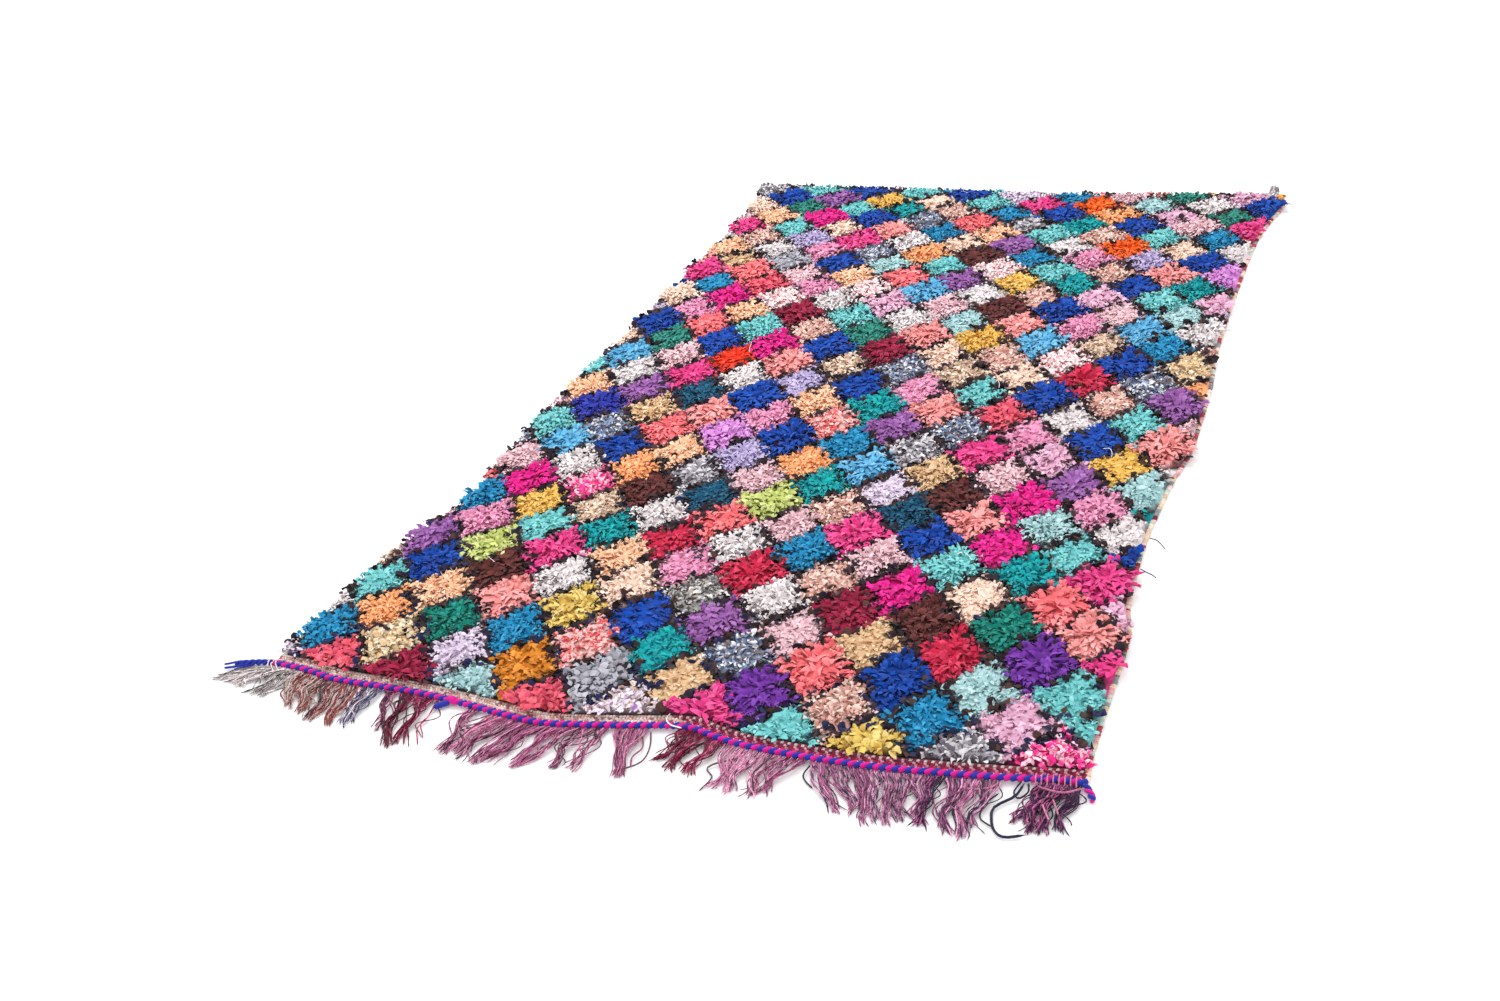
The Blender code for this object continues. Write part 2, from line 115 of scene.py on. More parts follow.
BED_CROWN = 0.0042
# Painted shade: BED_SHADE darkens the knot bed below the colours of its rags.
BED_SHADE = 0.92
# Painted shade: FOOT_SHADE darkens the bed's first two rows by the band.
FOOT_SHADE = 0.5
RIM_HEIGHT = 0.0035

# What a piece is dressed with: its material, a slot name and the solid that it stands for
RAG_DRESS = ("rag_cloth", "rag_pile", "rug_body")
OUTLINE_DRESS = ("outline_wool", "outline_rags", "rug_body")
BED_DRESS = ("outline_wool", "rag_pile", "rug_body")
GROUND_DRESS = ("ground_weft", "ground_weave", "rug_body")
YARN_DRESS = ("ground_yarn", "ground_weave", "rug_body")
CORD_DRESS = ("cord_wool", "end_cord", "end_cord")
FRINGE_DRESS = ("fringe_wool", "fringe_yarn", "fringe")

# How each cloth is torn: strips to a knot, width, reach, rise, spread of roll and points across
TUFTS = {
    "petal": (5, 0.0104, 0.0185, 0.0196, 0.40, 3),
    "tongue": (5, 0.0084, 0.0220, 0.0196, 0.36, 3),
    "print": (5, 0.0092, 0.0165, 0.0192, 0.50, 3),
    "shred": (8, 0.0064, 0.0148, 0.0188, 0.45, 2),
    "tweed": (8, 0.0060, 0.0143, 0.0184, 0.50, 2),
    "wool": (5, 0.0108, 0.0122, 0.0198, 0.60, 2),
}
# (share of the length, share of the width) along a strip of each cloth
CUTS = {
    "petal": ((0.0, 0.55), (0.25, 0.90), (0.5, 1.00), (0.75, 0.85), (1.0, 0.28)),
    "tongue": ((0.0, 0.60), (0.25, 0.90), (0.5, 1.00), (0.75, 0.78), (1.0, 0.16)),
    "print": ((0.0, 0.55), (0.25, 0.90), (0.5, 1.00), (0.75, 0.85), (1.0, 0.35)),
    "shred": ((0.0, 0.65), (0.36, 1.00), (0.70, 0.92), (1.0, 0.30)),
    "tweed": ((0.0, 0.65), (0.36, 1.00), (0.70, 0.92), (1.0, 0.40)),
    "wool": ((0.0, 0.65), (0.36, 1.00), (0.70, 0.95), (1.0, 0.45)),
}
# How far each cloth fans out from its diamond's middle, and how far its strips stray from that
FANS = {
    "petal": (1.3, 0.60), "tongue": (1.9, 0.38), "print": (1.1, 0.70),
    "shred": (1.5, 0.50), "tweed": (0.9, 0.80), "wool": (0.0, 0.60),
}
LEAN = (0.0, -0.30)
# Reach of a strip: its share at the diamond's middle, the loss at its edge and the power of the fall
EDGE_REACH = (1.05, 0.94, 1.4)
SIZE_SPREAD = (0.75, 1.2)
RISE_SPREAD = (0.82, 1.08)
EDGE_DROP = 0.16
KNEE = (0.34, 1.35)
TIP_RISE = 0.80
TWIST = 0.5
CREASE = 0.16
CRUMPLE = 0.0006
WIDTH_NOISE = 0.28
STRIP_FLOOR = 0.0012
DIAMOND_SIZES = (0.90, 1.12)
# By the band some strips are held up, past HEM_LOOSE_TO across; at the far end all lean inward
HEM_DEPTH = 0.020
HEM_HOLD = 0.35
HEM_LOOSE_TO = 0.32
HEM_TURN = 0.5
FAR_TURN_ROWS = 0.5
FAR_TURN = 0.5
FAR_PIECES_FROM = 13.0
# The pieces of pile, each made for the near and the far half: its cloths and its dress
PILE_PIECES = (
    ("wide_rags", ("petal", "tongue", "print"), RAG_DRESS),
    ("narrow_rags", ("shred", "tweed"), RAG_DRESS),
    ("outline_rags", ("wool",), OUTLINE_DRESS),
)

# Rag colours: the cloth, how often it comes up, and its tones
RAGS = {
    "aqua": ("shred", 21, "72c3c4 86d0d0 5eb3b6"),
    "mint": ("shred", 6, "a3c8ca b8d6d9 90b7ba"),
    "teal": ("shred", 10, "009aa0 12aaa8 00858f"),
    "cyan": ("shred", 12, "1685b4 2f98c4 1073a0"),
    "sky": ("tongue", 5, "5aa9d2 76bbdd 4894c0"),
    "royal_blue": ("tongue", 26, "06409e 0c4db2 063487"),
    "violet_blue": ("tongue", 3, "26309c 3640ac 1e2782"),
    "petrol": ("shred", 3, "0f4f6e 1c6480 0c405c"),
    "hot_pink": ("tongue", 13, "de3c86 e95899 cd2c75"),
    "magenta": ("petal", 3, "dc1085 ea2b97 c00c72"),
    "crimson": ("tongue", 1, "c41f45 d63a5c ad183a"),
    "burgundy": ("tongue", 1, "8e1338 a31c46 780f2e"),
    "watermelon": ("petal", 1, "e0566a e86a7a cd4560"),
    "coral": ("tongue", 8, "ec7076 f2888b de5d64"),
    "salmon": ("tongue", 9, "e99392 f0a8a5 dd8280"),
    "salmon_tweed": ("tweed", 14, "d29f94 e4c2b6 c2877b ecd5ca"),
    "pale_pink": ("shred", 20, "e0b8c0 eac9d0 d1a5af"),
    "pink": ("shred", 13, "e092b6 e9a7c5 d280a6"),
    "orchid": ("petal", 4, "cf86cf da9ada bf74c0"),
    "mauve": ("petal", 5, "dba8c3 e8bcd2 cb95b2"),
    "lavender": ("shred", 5, "b6a7cf c6b9dc a495bf"),
    "pale_lavender": ("shred", 3, "d6c6da e2d5e5 c7b5cc"),
    "violet": ("tongue", 0, "6c2c98 7b3ca8 5a2282"),
    "purple": ("tongue", 7, "92589e a36daf 7f478b"),
    "peach": ("shred", 13, "f2bf9b f7cfb0 e7ad86"),
    "peach_orange": ("shred", 6, "f2a771 f6b88a e5955c"),
    "orange_mustard": ("petal", 1, "e89f35 f0b04e d98e26"),
    "ochre": ("petal", 0, "d07f1f dd9038 b96d15"),
    "mustard": ("shred", 7, "e3b456 ecc573 d3a141"),
    "yellow": ("petal", 0, "dcbd62 e9cf82 c8a349"),
    "lime": ("petal", 0, "c2cb76 d2d990 aab35e"),
    "emerald": ("shred", 0, "087a6c 148c7d 06685e"),
    "sea_green": ("shred", 3, "2b8577 3b9688 217266"),
    "white": ("shred", 31, "ddd4d5 eae4e5 cac0c2"),
    "cream": ("shred", 12, "eccdba f4ddce dfbaa4"),
    "tan": ("shred", 6, "d8b38a e3c5a2 c79f74"),
    "tan_tweed": ("tweed", 7, "dcc0a6 efdfcf c2a087 a98672"),
    "dark_brown": ("petal", 1, "5c2a28 6e3030 491f1e"),
    "grey": ("petal", 1, "a4a3ad b8b6be 8c8b95"),
    "slate_tweed": ("tweed", 5, "8090b0 e6e8ee 3b4560 786a6c"),
    "grey_tweed": ("tweed", 3, "8c8a8a dcdada 4c4848 b3a59c"),
    "pale_grey": ("shred", 2, "c0bbc0 d6d2d6 928c96 625c66"),
    "violet_print": ("print", 1, "e3d2de f0e6ec 9467b4 cda24a"),
    "tan_print": ("print", 3, "dfc196 eee0c6 cc9040 8f7c64"),
    "pink_print": ("print", 5, "f4dfe0 f8ecec e7646e f0a3ab"),
    "red_print": ("print", 3, "eebfbc e54c50 ee7f7e f4dad6"),
    "magenta_print": ("print", 1, "f02f8a f6d3de d8196f f77fb2"),
    "red_orange": ("tongue", 0, "e43212 ee4c2a cc280c"),
    "orange": ("tongue", 0, "ee5a0a f67326 d44c04"),
}
TONE_SPREAD = 0.06
# Painted shade: strips darken towards their roots, to ROOT_SHADE's first value there, fading out along them
# with its power.
ROOT_SHADE = (0.92, 0.6)
PRINT_SPECKLE = 0.45
TWEED_MIX = 0.35
OUTLINE_TONES = "302329 241a1f 402d32 2a222e"
OUTLINE_BROWN = "4a342e"
OUTLINE_NAVY = "272b4f"
# Chance of brown at the left and how it grows across; chance of navy at the band and how fast it fades
BROWN_CHANCE = (0.2, 0.6)
NAVY_CHANCE = (0.75, 0.12)

# Rags of the diamonds that catch the eye, by row and then by place; a seeded choice fills in the others
RAG_SEED = 1102
DIAMOND_ROWS = 31
DIAMOND_SPAN = (-1, 12)
LANDMARKS = {
    0: {-1: "pale_lavender", 0: "watermelon", 1: "burgundy", 2: "mint", 3: "watermelon", 4: "violet_print",
        5: "hot_pink", 6: "aqua", 7: "yellow", 8: "pale_grey", 9: "magenta_print"},
    1: {0: "cyan", 1: "tan_print", 2: "pale_lavender", 3: "ochre", 4: "grey", 5: "tan", 6: "violet",
        7: "salmon_tweed", 8: "cyan", 9: "mauve", 10: "aqua"},
    2: {0: "peach_orange", 1: "emerald", 2: "cyan", 3: "red_print", 4: "teal", 5: "slate_tweed", 6: "coral",
        7: "royal_blue", 8: "mint", 9: "aqua"},
    3: {0: "aqua", 2: "salmon", 3: "yellow", 7: "tan", 8: "crimson", 9: "violet"},
    4: {0: "royal_blue", 1: "dark_brown", 6: "burgundy", 7: "dark_brown", 8: "emerald", 9: "salmon"},
    5: {1: "lime", 5: "crimson", 7: "magenta", 9: "coral"},
    6: {3: "crimson"},
    7: {9: "aqua"},
    8: {0: "magenta", 2: "dark_brown", 4: "lime"},
    9: {7: "dark_brown", 8: "magenta"},
    10: {1: "royal_blue"},
    11: {9: "mustard"},
    12: {5: "purple", 8: "royal_blue"},
    15: {2: "red_orange", 8: "crimson"},
    16: {4: "burgundy"},
    18: {2: "burgundy"},
    23: {5: "dark_brown"},
    24: {7: "orange"},
    28: {6: "orange"},
}

# Forms of stitches: where the rings lie along one, how wide they are, and points to a ring
LOZENGE = ((-0.5, -0.34, 0.0, 0.34, 0.5), (0.12, 0.72, 1.0, 0.72, 0.12), 5)
BEAN = ((-0.5, -0.44, -0.28, 0.0, 0.28, 0.44, 0.5), (0.36, 0.84, 1.0, 1.0, 1.0, 0.84, 0.36), 10)
# Twined rows: length, width and height of a stitch, and where the rows start and end across the rug
BAND_STITCH = (0.0062, 0.0050, 0.0056)
BAND_SPAN = (0.006, 1.244)
BAND_ROWS = 4
BAND_FOOT = 0.0028
HEM_STITCH = (0.0066, 0.0044, 0.0052)
HEM_SPAN = (0.018, 1.240)
HEM_ROWS = 2
TWINE_SLANT = 0.60
TWINE_STEP = 0.80
TWINE_SHIFT = 0.4
TWINE_LIFT = 0.0012
SLOPE_REACH = 0.004
TWINE_NOISE = (0.0003, 0.0002)
TONE_NOISE = 0.08
BRICK_FROM = 0.68
BRICK_FROM_NOISE = 0.02
BRICK_NOISE = 0.10
BAND_BEIGE = "e2c4b8 d6b0a4 f0e0da 9c6a6c d89e9e e4cec8 ead4ca"
BRICK_ROWS = ("f4bea4 9c2c3e", "922648 a43252 cc7890", "9a2c4e e2aab8 7c2442", "f4dee0 a63c58")
# Selvedge: length and height of a weft loop, their pitch, and how far one laps the next
RIB = (0.0092, 0.0054)
RIB_PITCH = 0.0042
RIB_LAP = 1.25
RIB_INSET = 0.0008
RIB_LIFT = 0.0006
RIB_SLANT = 0.18
RIB_NOISE = (0.0005, 0.06)
RIB_SPAN = (-0.030, 2.02)
RIB_RUN = 5
RIB_TONES = "e3c3c0 d8bfa6 a8434a 7c2a3a b9c8c0 e6d3c0 cf9c9a 8c8f90"
# The ground's weft: tones, where each starts in the noise, its run along each axis, and its ribs' scale
WEFT_TONES = "7a4a44 a8868a c9a78c d8c3b4 b98d84 8c8f90"
WEFT_STEPS = (0.0, 0.40, 0.46, 0.51, 0.56, 0.62)
WEFT_RUN = (9.0, 230.0, 9.0)
WEFT_RIB_SCALE = 87.0

# End cord: ply radius, its distance from the cord's middle, and the pitch of a full turn, all for its tails
CORD_PLY = 0.0028
CORD_ORBIT = 0.0023
CORD_PITCH = 0.0205
CORD_SIDES = 8
CORD_STEPS_PER_TURN = 12
# Along the band: height, length of the first and last turn, a turn's overlap, width and height, and slant
CORD_HEIGHT = 0.0079
CORD_TURNS = (0.0090, 0.0084)
CORD_STITCH = (1.56, 0.0078, 0.0082)
CORD_SLANT = 0.62
CORD_POINTS = 400
CORD_SMOOTHING = 12
BLUE = "25319a"
MAGENTA = "d01688"
# The knot's two parts: place along and off the cord's line, height, turn, size and tone
CORD_KNOT = (
    (0.336, 0.0, 0.0089, -0.3, (0.0150, 0.0120, 0.0112), MAGENTA),
    (0.324, -0.011, 0.0066, 0.75, (0.0230, 0.0092, 0.0088), BLUE),
)
KNOT_PLACE = 0.336
TAIL_OVERLAP = 0.004
# Tails of the cord: route in millimetres, and the tones of its two plies
CORD_TAILS = {
    "left_cord_tail": (((-60, -39, 5.6), (-42, -32, 5.6), (-22, -27, 6), (0, -25, 7.8)), BLUE, BLUE),
    "right_cord_tail": (((1246, -22, 7.8), (1255, -34, 6.2), (1262, -47, 5.6)), BLUE, MAGENTA),
}
# Strands at the end of the left tail, in millimetres: radius, tone and route
TAIL_ENDS = (
    (1.7, BLUE, ((-40, -30, 8), (-56, -34, 7.4), (-68, -39, 5.8), (-80, -42, 4))),
    (1.8, BLUE, ((-36, -34, 6.2), (-50, -41, 5.4), (-62, -46, 4.5), (-74, -50, 3.6))),
    (1.6, BLUE, ((-30, -32, 5), (-40, -40, 4.5), (-48, -46, 4), (-55, -50, 3.4))),
)

# Yarn tones: two that come up often, then two seldom ones
GREY_YARN = "b0a5a2 4e4042 dcd4d2 2a2226"
WHITE_YARN = "d6caca bcaeae 6c5c62 efe8e6"
RED_GREY_YARN = "c0a69e 94382f 4e3a40 7c1f40"
NAVY_YARN = "cfc6d0 2e2a4c 7c7294 463c5c"
WINE_YARN = "4a1836 8a3c60 241428 b86a8c"
PLUM_YARN = "96507a d294b6 2e2440 a8587e"
RED_YARN = "66082c 98204e 340a1e b85a80"
MAUVE_YARN = "a85a80 cf8cae 3e1a2c 92406a"
PALE_YARN = "c87a9e dc9cba 5c2c48 a85880"
DARK_YARN = "2c1434 5c1e54 bc5c92 1c1028"
TONE_CHANCES = (0.38, 0.26, 0.22, 0.14)
# Bundles of fringe, in millimetres: root from, root to, tip x, tip y and tip half width; then yarns, gather
# and tones. Gather is the share of its length over which its yarns draw together.
BUNDLES = (
    (6, 24, -70, -78, 8, 12, 1.2, GREY_YARN),
    (12, 32, -46, -80, 10, 12, 1.4, WHITE_YARN),
    (22, 42, -22, -88, 12, 12, 1.4, WHITE_YARN),
    (34, 54, 4, -98, 10, 12, 1.3, GREY_YARN),
    (46, 64, 30, -101, 8, 8, 1.3, GREY_YARN),
    (54, 90, 84, -114, 6, 16, 1.5, RED_GREY_YARN),
    (82, 124, 113, -122, 6, 18, 1.5, RED_GREY_YARN),
    (111, 146, 140, -135, 6, 17, 1.5, RED_GREY_YARN),
    (142, 181, 176, -139, 6, 18, 1.5, RED_GREY_YARN),
    (174, 213, 204, -134, 8, 15, 1.3, NAVY_YARN),
    (215, 240, 256, -130, 11, 12, 0.25, WINE_YARN),
    (245, 274, 284, -160, 13, 16, 0.5, RED_YARN),
    (270, 306, 303, -151, 13, 18, 0.5, RED_YARN),
    (308, 313, 333, -146, 3, 3, 0.5, RED_YARN),
    (366, 386, 374, -158, 14, 16, 0.4, MAUVE_YARN),
    (406, 432, 392, -150, 14, 14, 1.0, PALE_YARN),
    (430, 458, 409, -161, 12, 14, 1.0, MAUVE_YARN),
    (456, 482, 437, -166, 12, 15, 1.0, MAUVE_YARN),
    (480, 504, 446, -160, 9, 14, 1.0, MAUVE_YARN),
    (502, 530, 488, -160, 6, 16, 0.8, MAUVE_YARN),
    (528, 553, 502, -152, 5, 12, 0.7, PALE_YARN),
    (550, 574, 546, -149, 6, 13, 0.6, MAUVE_YARN),
    (574, 592, 574, -145, 6, 13, 0.5, MAUVE_YARN),
    (598, 621, 639, -142, 7, 16, 0.7, MAUVE_YARN),
    (618, 648, 651, -144, 7, 15, 0.7, MAUVE_YARN),
    (690, 716, 688, -100, 12, 15, 0.8, RED_YARN),
    (710, 740, 712, -116, 14, 15, 0.9, RED_YARN),
    (736, 764, 736, -120, 14, 15, 0.9, RED_YARN),
    (764, 800, 784, -135, 14, 14, 1.1, PALE_YARN),
    (795, 830, 803, -139, 12, 14, 1.1, PALE_YARN),
    (826, 860, 828, -143, 13, 14, 1.1, PALE_YARN),
    (850, 888, 850, -132, 13, 14, 1.1, MAUVE_YARN),
    (888, 916, 950, -142, 10, 14, 1.3, PLUM_YARN),
    (912, 944, 974, -132, 10, 12, 1.3, PLUM_YARN),
    (944, 966, 986, -144, 12, 13, 1.5, PLUM_YARN),
    (962, 990, 1003, -155, 10, 13, 1.5, PLUM_YARN),
    (988, 1012, 1022, -149, 12, 14, 1.5, PLUM_YARN),
    (1008, 1030, 1040, -139, 10, 13, 1.5, PLUM_YARN),
    (1027, 1052, 1052, -132, 10, 13, 1.2, PLUM_YARN),
    (1046, 1072, 1060, -145, 10, 15, 1.0, DARK_YARN),
    (1070, 1098, 1096, -147, 10, 18, 0.9, PLUM_YARN),
    (1094, 1120, 1117, -152, 9, 18, 0.8, PLUM_YARN),
    (1116, 1144, 1126, -130, 14, 13, 1.0, PLUM_YARN),
    (1190, 1210, 1178, -108, 10, 17, 0.8, DARK_YARN),
    (1200, 1222, 1196, -120, 11, 22, 0.8, DARK_YARN),
    (1212, 1234, 1212, -120, 11, 22, 0.8, DARK_YARN),
    (1222, 1243, 1230, -111, 9, 18, 0.9, DARK_YARN),
)
FRINGE_ROOT_OFFSET = -0.002
YARN_RADIUS = 0.00112
YARN_RADIUS_SPREAD = (0.75, 1.15)
YARN_TAPER = 0.2
YARN_STEPS = 25
YARN_SIDES = 4
YARN_SHARE = 1.10
YARN_LENGTHS = (0.84, 1.03)
YARN_LOBES = 0.22
YARN_PLY_STEP = 1.15
YARN_NOISE = 0.16
STRAY_SHARE = 0.17
STRAY_SWING = 0.011
STRAY_SPREAD = 1.6
STRAY_SHADE = 0.55
BUNDLE_THICKNESS = 0.0010
BUNDLE_SPINS = (3.0, 7.0)
BUNDLE_BEND = (-0.2, 0.35)
FAN_FROM = 0.62
FAN_POWER = 1.4
WAVE = 0.0045
HEAP = 0.0065
FLOOR_GAP = 0.0034
ROOT_LIFT = 0.0016
ROOT_PLACES = (0.1, 0.9)
# Waves along a bundle, smaller ones over them, and those of a stray yarn
SLACK_WAVES = (0.6, 1.2)
RIPPLE = 0.4
RIPPLE_WAVES = (1.6, 2.6)
STRAY_WAVES = (0.7, 1.6)
# How flat a yarn's turn in its bundle is along and up, how low its tip lies, and its least height in radii
ORBIT_ALONG = 0.5
ORBIT_UP = 0.8
TIP_DROP = 0.5
LEAST_HEIGHT = 1.25

# Strings over the cord and at the corners, in millimetres: radius, tone and route
STRINGS = (
    (1.1, "d8cfd0", ((0, -14, 3), (-3, -26, 12.5), (0, -40, 6), (-2, -54, 3))),
    (1.1, "cfc4c6", ((18, -12, 5), (10, -26, 13.2), (24, -42, 8), (52, -56, 4))),
    (1, "ddd5d6", ((6, -18, 4), (6, -34, 13), (20, -48, 6), (34, -66, 3))),
    (1.1, "efe6e6", ((665, -6, 9), (667, -22, 10.5), (680, -35, 13.5), (697, -37, 12.5))),
    (0.9, "3a2830", ((1222, 548, 18), (1233, 550, 14), (1242, 545, 9), (1248, 538, 7))),
    (0.9, "3a2830", ((1224, 462, 18), (1234, 460, 14), (1242, 462, 9), (1249, 458, 7))),
    (1.9, "25253c", ((1172, -34, 6), (1166, -60, 5), (1146, -85, 4), (1149, -110, 4), (1158, -128, 4),
        (1172, -135, 4), (1196, -125, 4))),
    (1.3, "2c2438", ((1168, -30, 6), (1163, -52, 5), (1172, -64, 6), (1181, -52, 8), (1177, -34, 7))),
    (1.2, "5c4650", ((786, -52, 5), (789, -74, 6), (766, -88, 4), (760, -100, 3), (773, -114, 3),
        (766, -143, 2))),
    (1.2, "6a4254", ((652, -44, 5), (664, -72, 5), (668, -98, 4), (662, -114, 4), (649, -129, 6))),
    (1.2, "8a5068", ((640, -48, 5), (655, -78, 4), (650, -100, 4), (656, -119, 4))),
    (1.2, "33283a", ((895, -52, 5), (890, -80, 4), (897, -92, 3), (910, -102, 2))),
    (1.2, "c27a98", ((1143, -36, 5), (1132, -54, 7), (1110, -63, 8), (1096, -60, 7))),
    (1.2, "33283a", ((1146, -60, 6), (1134, -84, 6), (1134, -108, 4), (1152, -120, 3))),
    (1.3, "b56a88", ((1190, -40, 10), (1204, -48, 13.5), (1226, -50, 14.5), (1246, -34, 12))),
    (1.2, "c27a98", ((1202, -70, 13.5), (1212, -90, 14), (1224, -110, 11))),
    (1.2, "b56a88", ((1212, -58, 14), (1222, -78, 14.5), (1232, -98, 11))),
    (2.6, "9a8f92", ((1220, 1994, 14), (1222, 2006, 22), (1223, 2018, 23), (1224, 2028, 9))),
    (2.6, "b3a8aa", ((1226, 1994, 14), (1228, 2006, 23), (1229, 2019, 24), (1230, 2030, 9))),
    (2.6, "7d7276", ((1231, 1992, 14), (1234, 2004, 21), (1235, 2016, 21), (1236, 2026, 6))),
)
# Loose white threads on the pile, in metres: x, y and length
LOOSE_ENDS = (
    (0.62, 0.42, 0.040), (0.95, 0.44, 0.034), (0.34, 1.12, 0.045), (0.40, 0.15, 0.036), (0.75, 0.72, 0.032),
    (1.02, 1.30, 0.038), (0.58, 1.48, 0.036), (0.20, 0.30, 0.030), (0.86, 1.02, 0.030), (1.10, 0.80, 0.036),
)
LOOSE_TONE = "f4f0ec"
LOOSE_RADIUS = 0.0005
LOOSE_HEIGHT = (0.024, 0.002)
LOOSE_TURN = 0.7
LOOSE_POINTS = 4
LOOSE_WAVE = 1.7
# Whipping over the right end of the cord: route of one tie from its place on the cord's line
WHIP_ROUTE = (
    (0.0, 0.010, 0.006), (0.0, 0.004, 0.0122), (0.001, -0.004, 0.0118),
    (0.002, -0.012, 0.0050), (0.002, -0.030, 0.0040),
)
WHIPS = 8
WHIPS_FROM = 1.184
WHIP_SPACING = 0.0072
WHIP_RADIUS = 0.0010
WHIP_TONE = "c8789a"
STRAND_STEPS = 22
STRAND_SIDES = 6
STRAND_SMOOTHING = 6
TUBE_END = 0.15

# Materials: roughness, sheen, scale of wrinkles, scale and depth of fibres, and how far the colour varies
LOOKS = {
    "rag_cloth": (0.84, 0.08, 420.0, 1500.0, 0.0003, 0.10),
    "outline_wool": (0.94, 0.04, 520.0, 1600.0, 0.0006, 0.25),
    "ground_yarn": (0.92, 0.08, 500.0, 900.0, 0.0004, 0.24),
    "ground_weft": (0.92, 0.08, 500.0, 900.0, 0.0004, 0.20),
    "cord_wool": (0.88, 0.10, 600.0, 2200.0, 0.0004, 0.16),
    "fringe_wool": (0.90, 0.12, 600.0, 620.0, 0.0004, 0.42),
}
SPECULAR = 0.18
SHEEN_ROUGHNESS = 0.5
ROUGHNESS_SPREAD = (-0.08, 0.06)
NOISE_LIMITS = (0.3, 0.7)
# Blotches of colour: their scale and their strength, as shares of the wrinkles' and the flecks'
BLOTCH = (0.35, 0.6)
FOLD_STRENGTH = 0.6
FIBRE_STRENGTH = 0.5
RIB_STRENGTH = 0.8
FOLD_DEPTH = 0.0012
CELL_MARGIN = 0.06

# Camera, fitted to the four edges and the lattice: place in the tables' frame, and the rows of its rotation
CAMERA_PLACE = (1.62474, -1.64216, 1.41320)
CAMERA_RIGHT = (0.9216822, 0.36828872, -0.12192352)
CAMERA_UP = (-0.08811325, 0.50479854, 0.85872842)
CAMERA_FORWARD = (-0.3778068, 0.78073162, -0.49771494)
CAMERA_LENS = 40.44
SENSOR_WIDTH = 36.0
FLOOR_SIZE = 30.0
FLOOR_WHITE = 0.93
SURROUND = 1.20
# Lamps: place, size and power
LAMPS = {
    "overhead": ((-0.8, 0.9, 2.6), 2.0, 46.0),
    "front": ((1.6, -2.4, 1.9), 1.6, 10.0),
}


def curve(table, t):
    """Values at t on the smooth curve through a table's (t, value) rows, held beyond its ends."""
    rows = np.array(table, float)
    places, values = rows[:, 0], rows[:, 1]
    t = np.asarray(t, float)
    before = np.maximum(np.arange(len(rows)) - 1, 0)
    after = np.minimum(np.arange(len(rows)) + 1, len(rows) - 1)
    slopes = (values[after] - values[before]) / (places[after] - places[before])
    k = np.clip(np.searchsorted(places, t) - 1, 0, len(rows) - 2)
    span = places[k + 1] - places[k]
    s = np.clip((t - places[k]) / span, 0.0, 1.0)
    rise = slopes[k] * span * s * (1.0 - s) ** 2 - slopes[k + 1] * span * (1.0 - s) * s ** 2
    return values[k] + (values[k + 1] - values[k]) * s * s * (3.0 - 2.0 * s) + rise


def row_y(row, x):
    """Distance along the rug of a lattice row, bent at both ends with the cloth's edges."""
    foot = curve(NEAR_EDGE, x) + BAND_EDGE_OFFSET + BAND_WIDTH
    near = np.maximum(0.0, 1.0 - row / EDGE_FADE_ROWS) ** 2
    far = np.maximum(0.0, 1.0 - (LAST_ROW - row) / EDGE_FADE_ROWS) ** 2
    return curve(ROW_PLACES, row) + (foot - ROW_PLACES[0][1]) * near - curve(FAR_DIP, x) * far


def linear(tone):
    """Linear colour of a hex tone."""
    parts = np.array([int(tone[k:k + 2], 16) / 255.0 for k in (0, 2, 4)])
    return np.where(parts <= 0.04045, parts / 12.92, ((parts + 0.055) / 1.055) ** 2.4)


def tones(names):
    """Linear colours of a line of hex tones."""
    return np.array([linear(tone) for tone in names.split()])


def make_piece(name, points, colours, dress, closed=True, mapped=True):
    """A dressed piece of like patches: points are (patches, steps, across, 3), colours alike or one each."""
    count, steps, across, _ = points.shape
    runs = across if closed else across - 1
    i, j = [a.ravel() for a in np.meshgrid(np.arange(steps - 1), np.arange(runs), indexing="ij")]
    down, over = np.stack([i, i, i + 1, i + 1], 1), np.stack([j, j + 1, j + 1, j], 1)
    quads = down * across + over % across
    faces = (quads + (np.arange(count) * steps * across)[:, None, None]).reshape(-1, 4)
    mesh = bpy.data.meshes.new(name)
    mesh.vertices.add(count * steps * across)
    mesh.vertices.foreach_set("co", (points - (*BOX_CENTRE, 0.0)).astype(np.float32).ravel())
    mesh.loops.add(faces.size)
    mesh.loops.foreach_set("vertex_index", faces.astype(np.int32).ravel())
    mesh.polygons.add(len(faces))
    mesh.polygons.foreach_set("loop_start", np.arange(0, faces.size, 4, dtype=np.int32))
    mesh.polygons.foreach_set("use_smooth", np.ones(len(faces), bool))
    colours = np.broadcast_to(colours if colours.ndim == 4 else colours[:, None, None], points.shape)
    shade = np.ones((count * steps * across, 4), np.float32)
    shade[:, :3] = np.clip(colours, 0.0, 1.0).reshape(-1, 3)
    mesh.color_attributes.new("rag_colour", "FLOAT_COLOR", "POINT").data.foreach_set("color", shade.ravel())
    if mapped:
        cells = math.ceil(math.sqrt(count))
        width = 1.0 - 2.0 * CELL_MARGIN
        place = np.arange(count)[:, None, None]
        u = (place % cells + CELL_MARGIN + width * over / runs) / cells
        v = (place // cells + CELL_MARGIN + width * down / (steps - 1)) / cells
        layer = mesh.uv_layers.new(name="OFBake")
        layer.data.foreach_set("uv", np.stack([u, v], -1).astype(np.float32).ravel())
    mesh.update(calc_edges=True)
    material, slot, node = dress
    mesh.materials.append(bpy.data.materials[material])
    piece = bpy.data.objects.new(name, mesh)
    bpy.context.scene.collection.objects.link(piece)
    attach(piece, "root")
    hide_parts(node)
    return piece


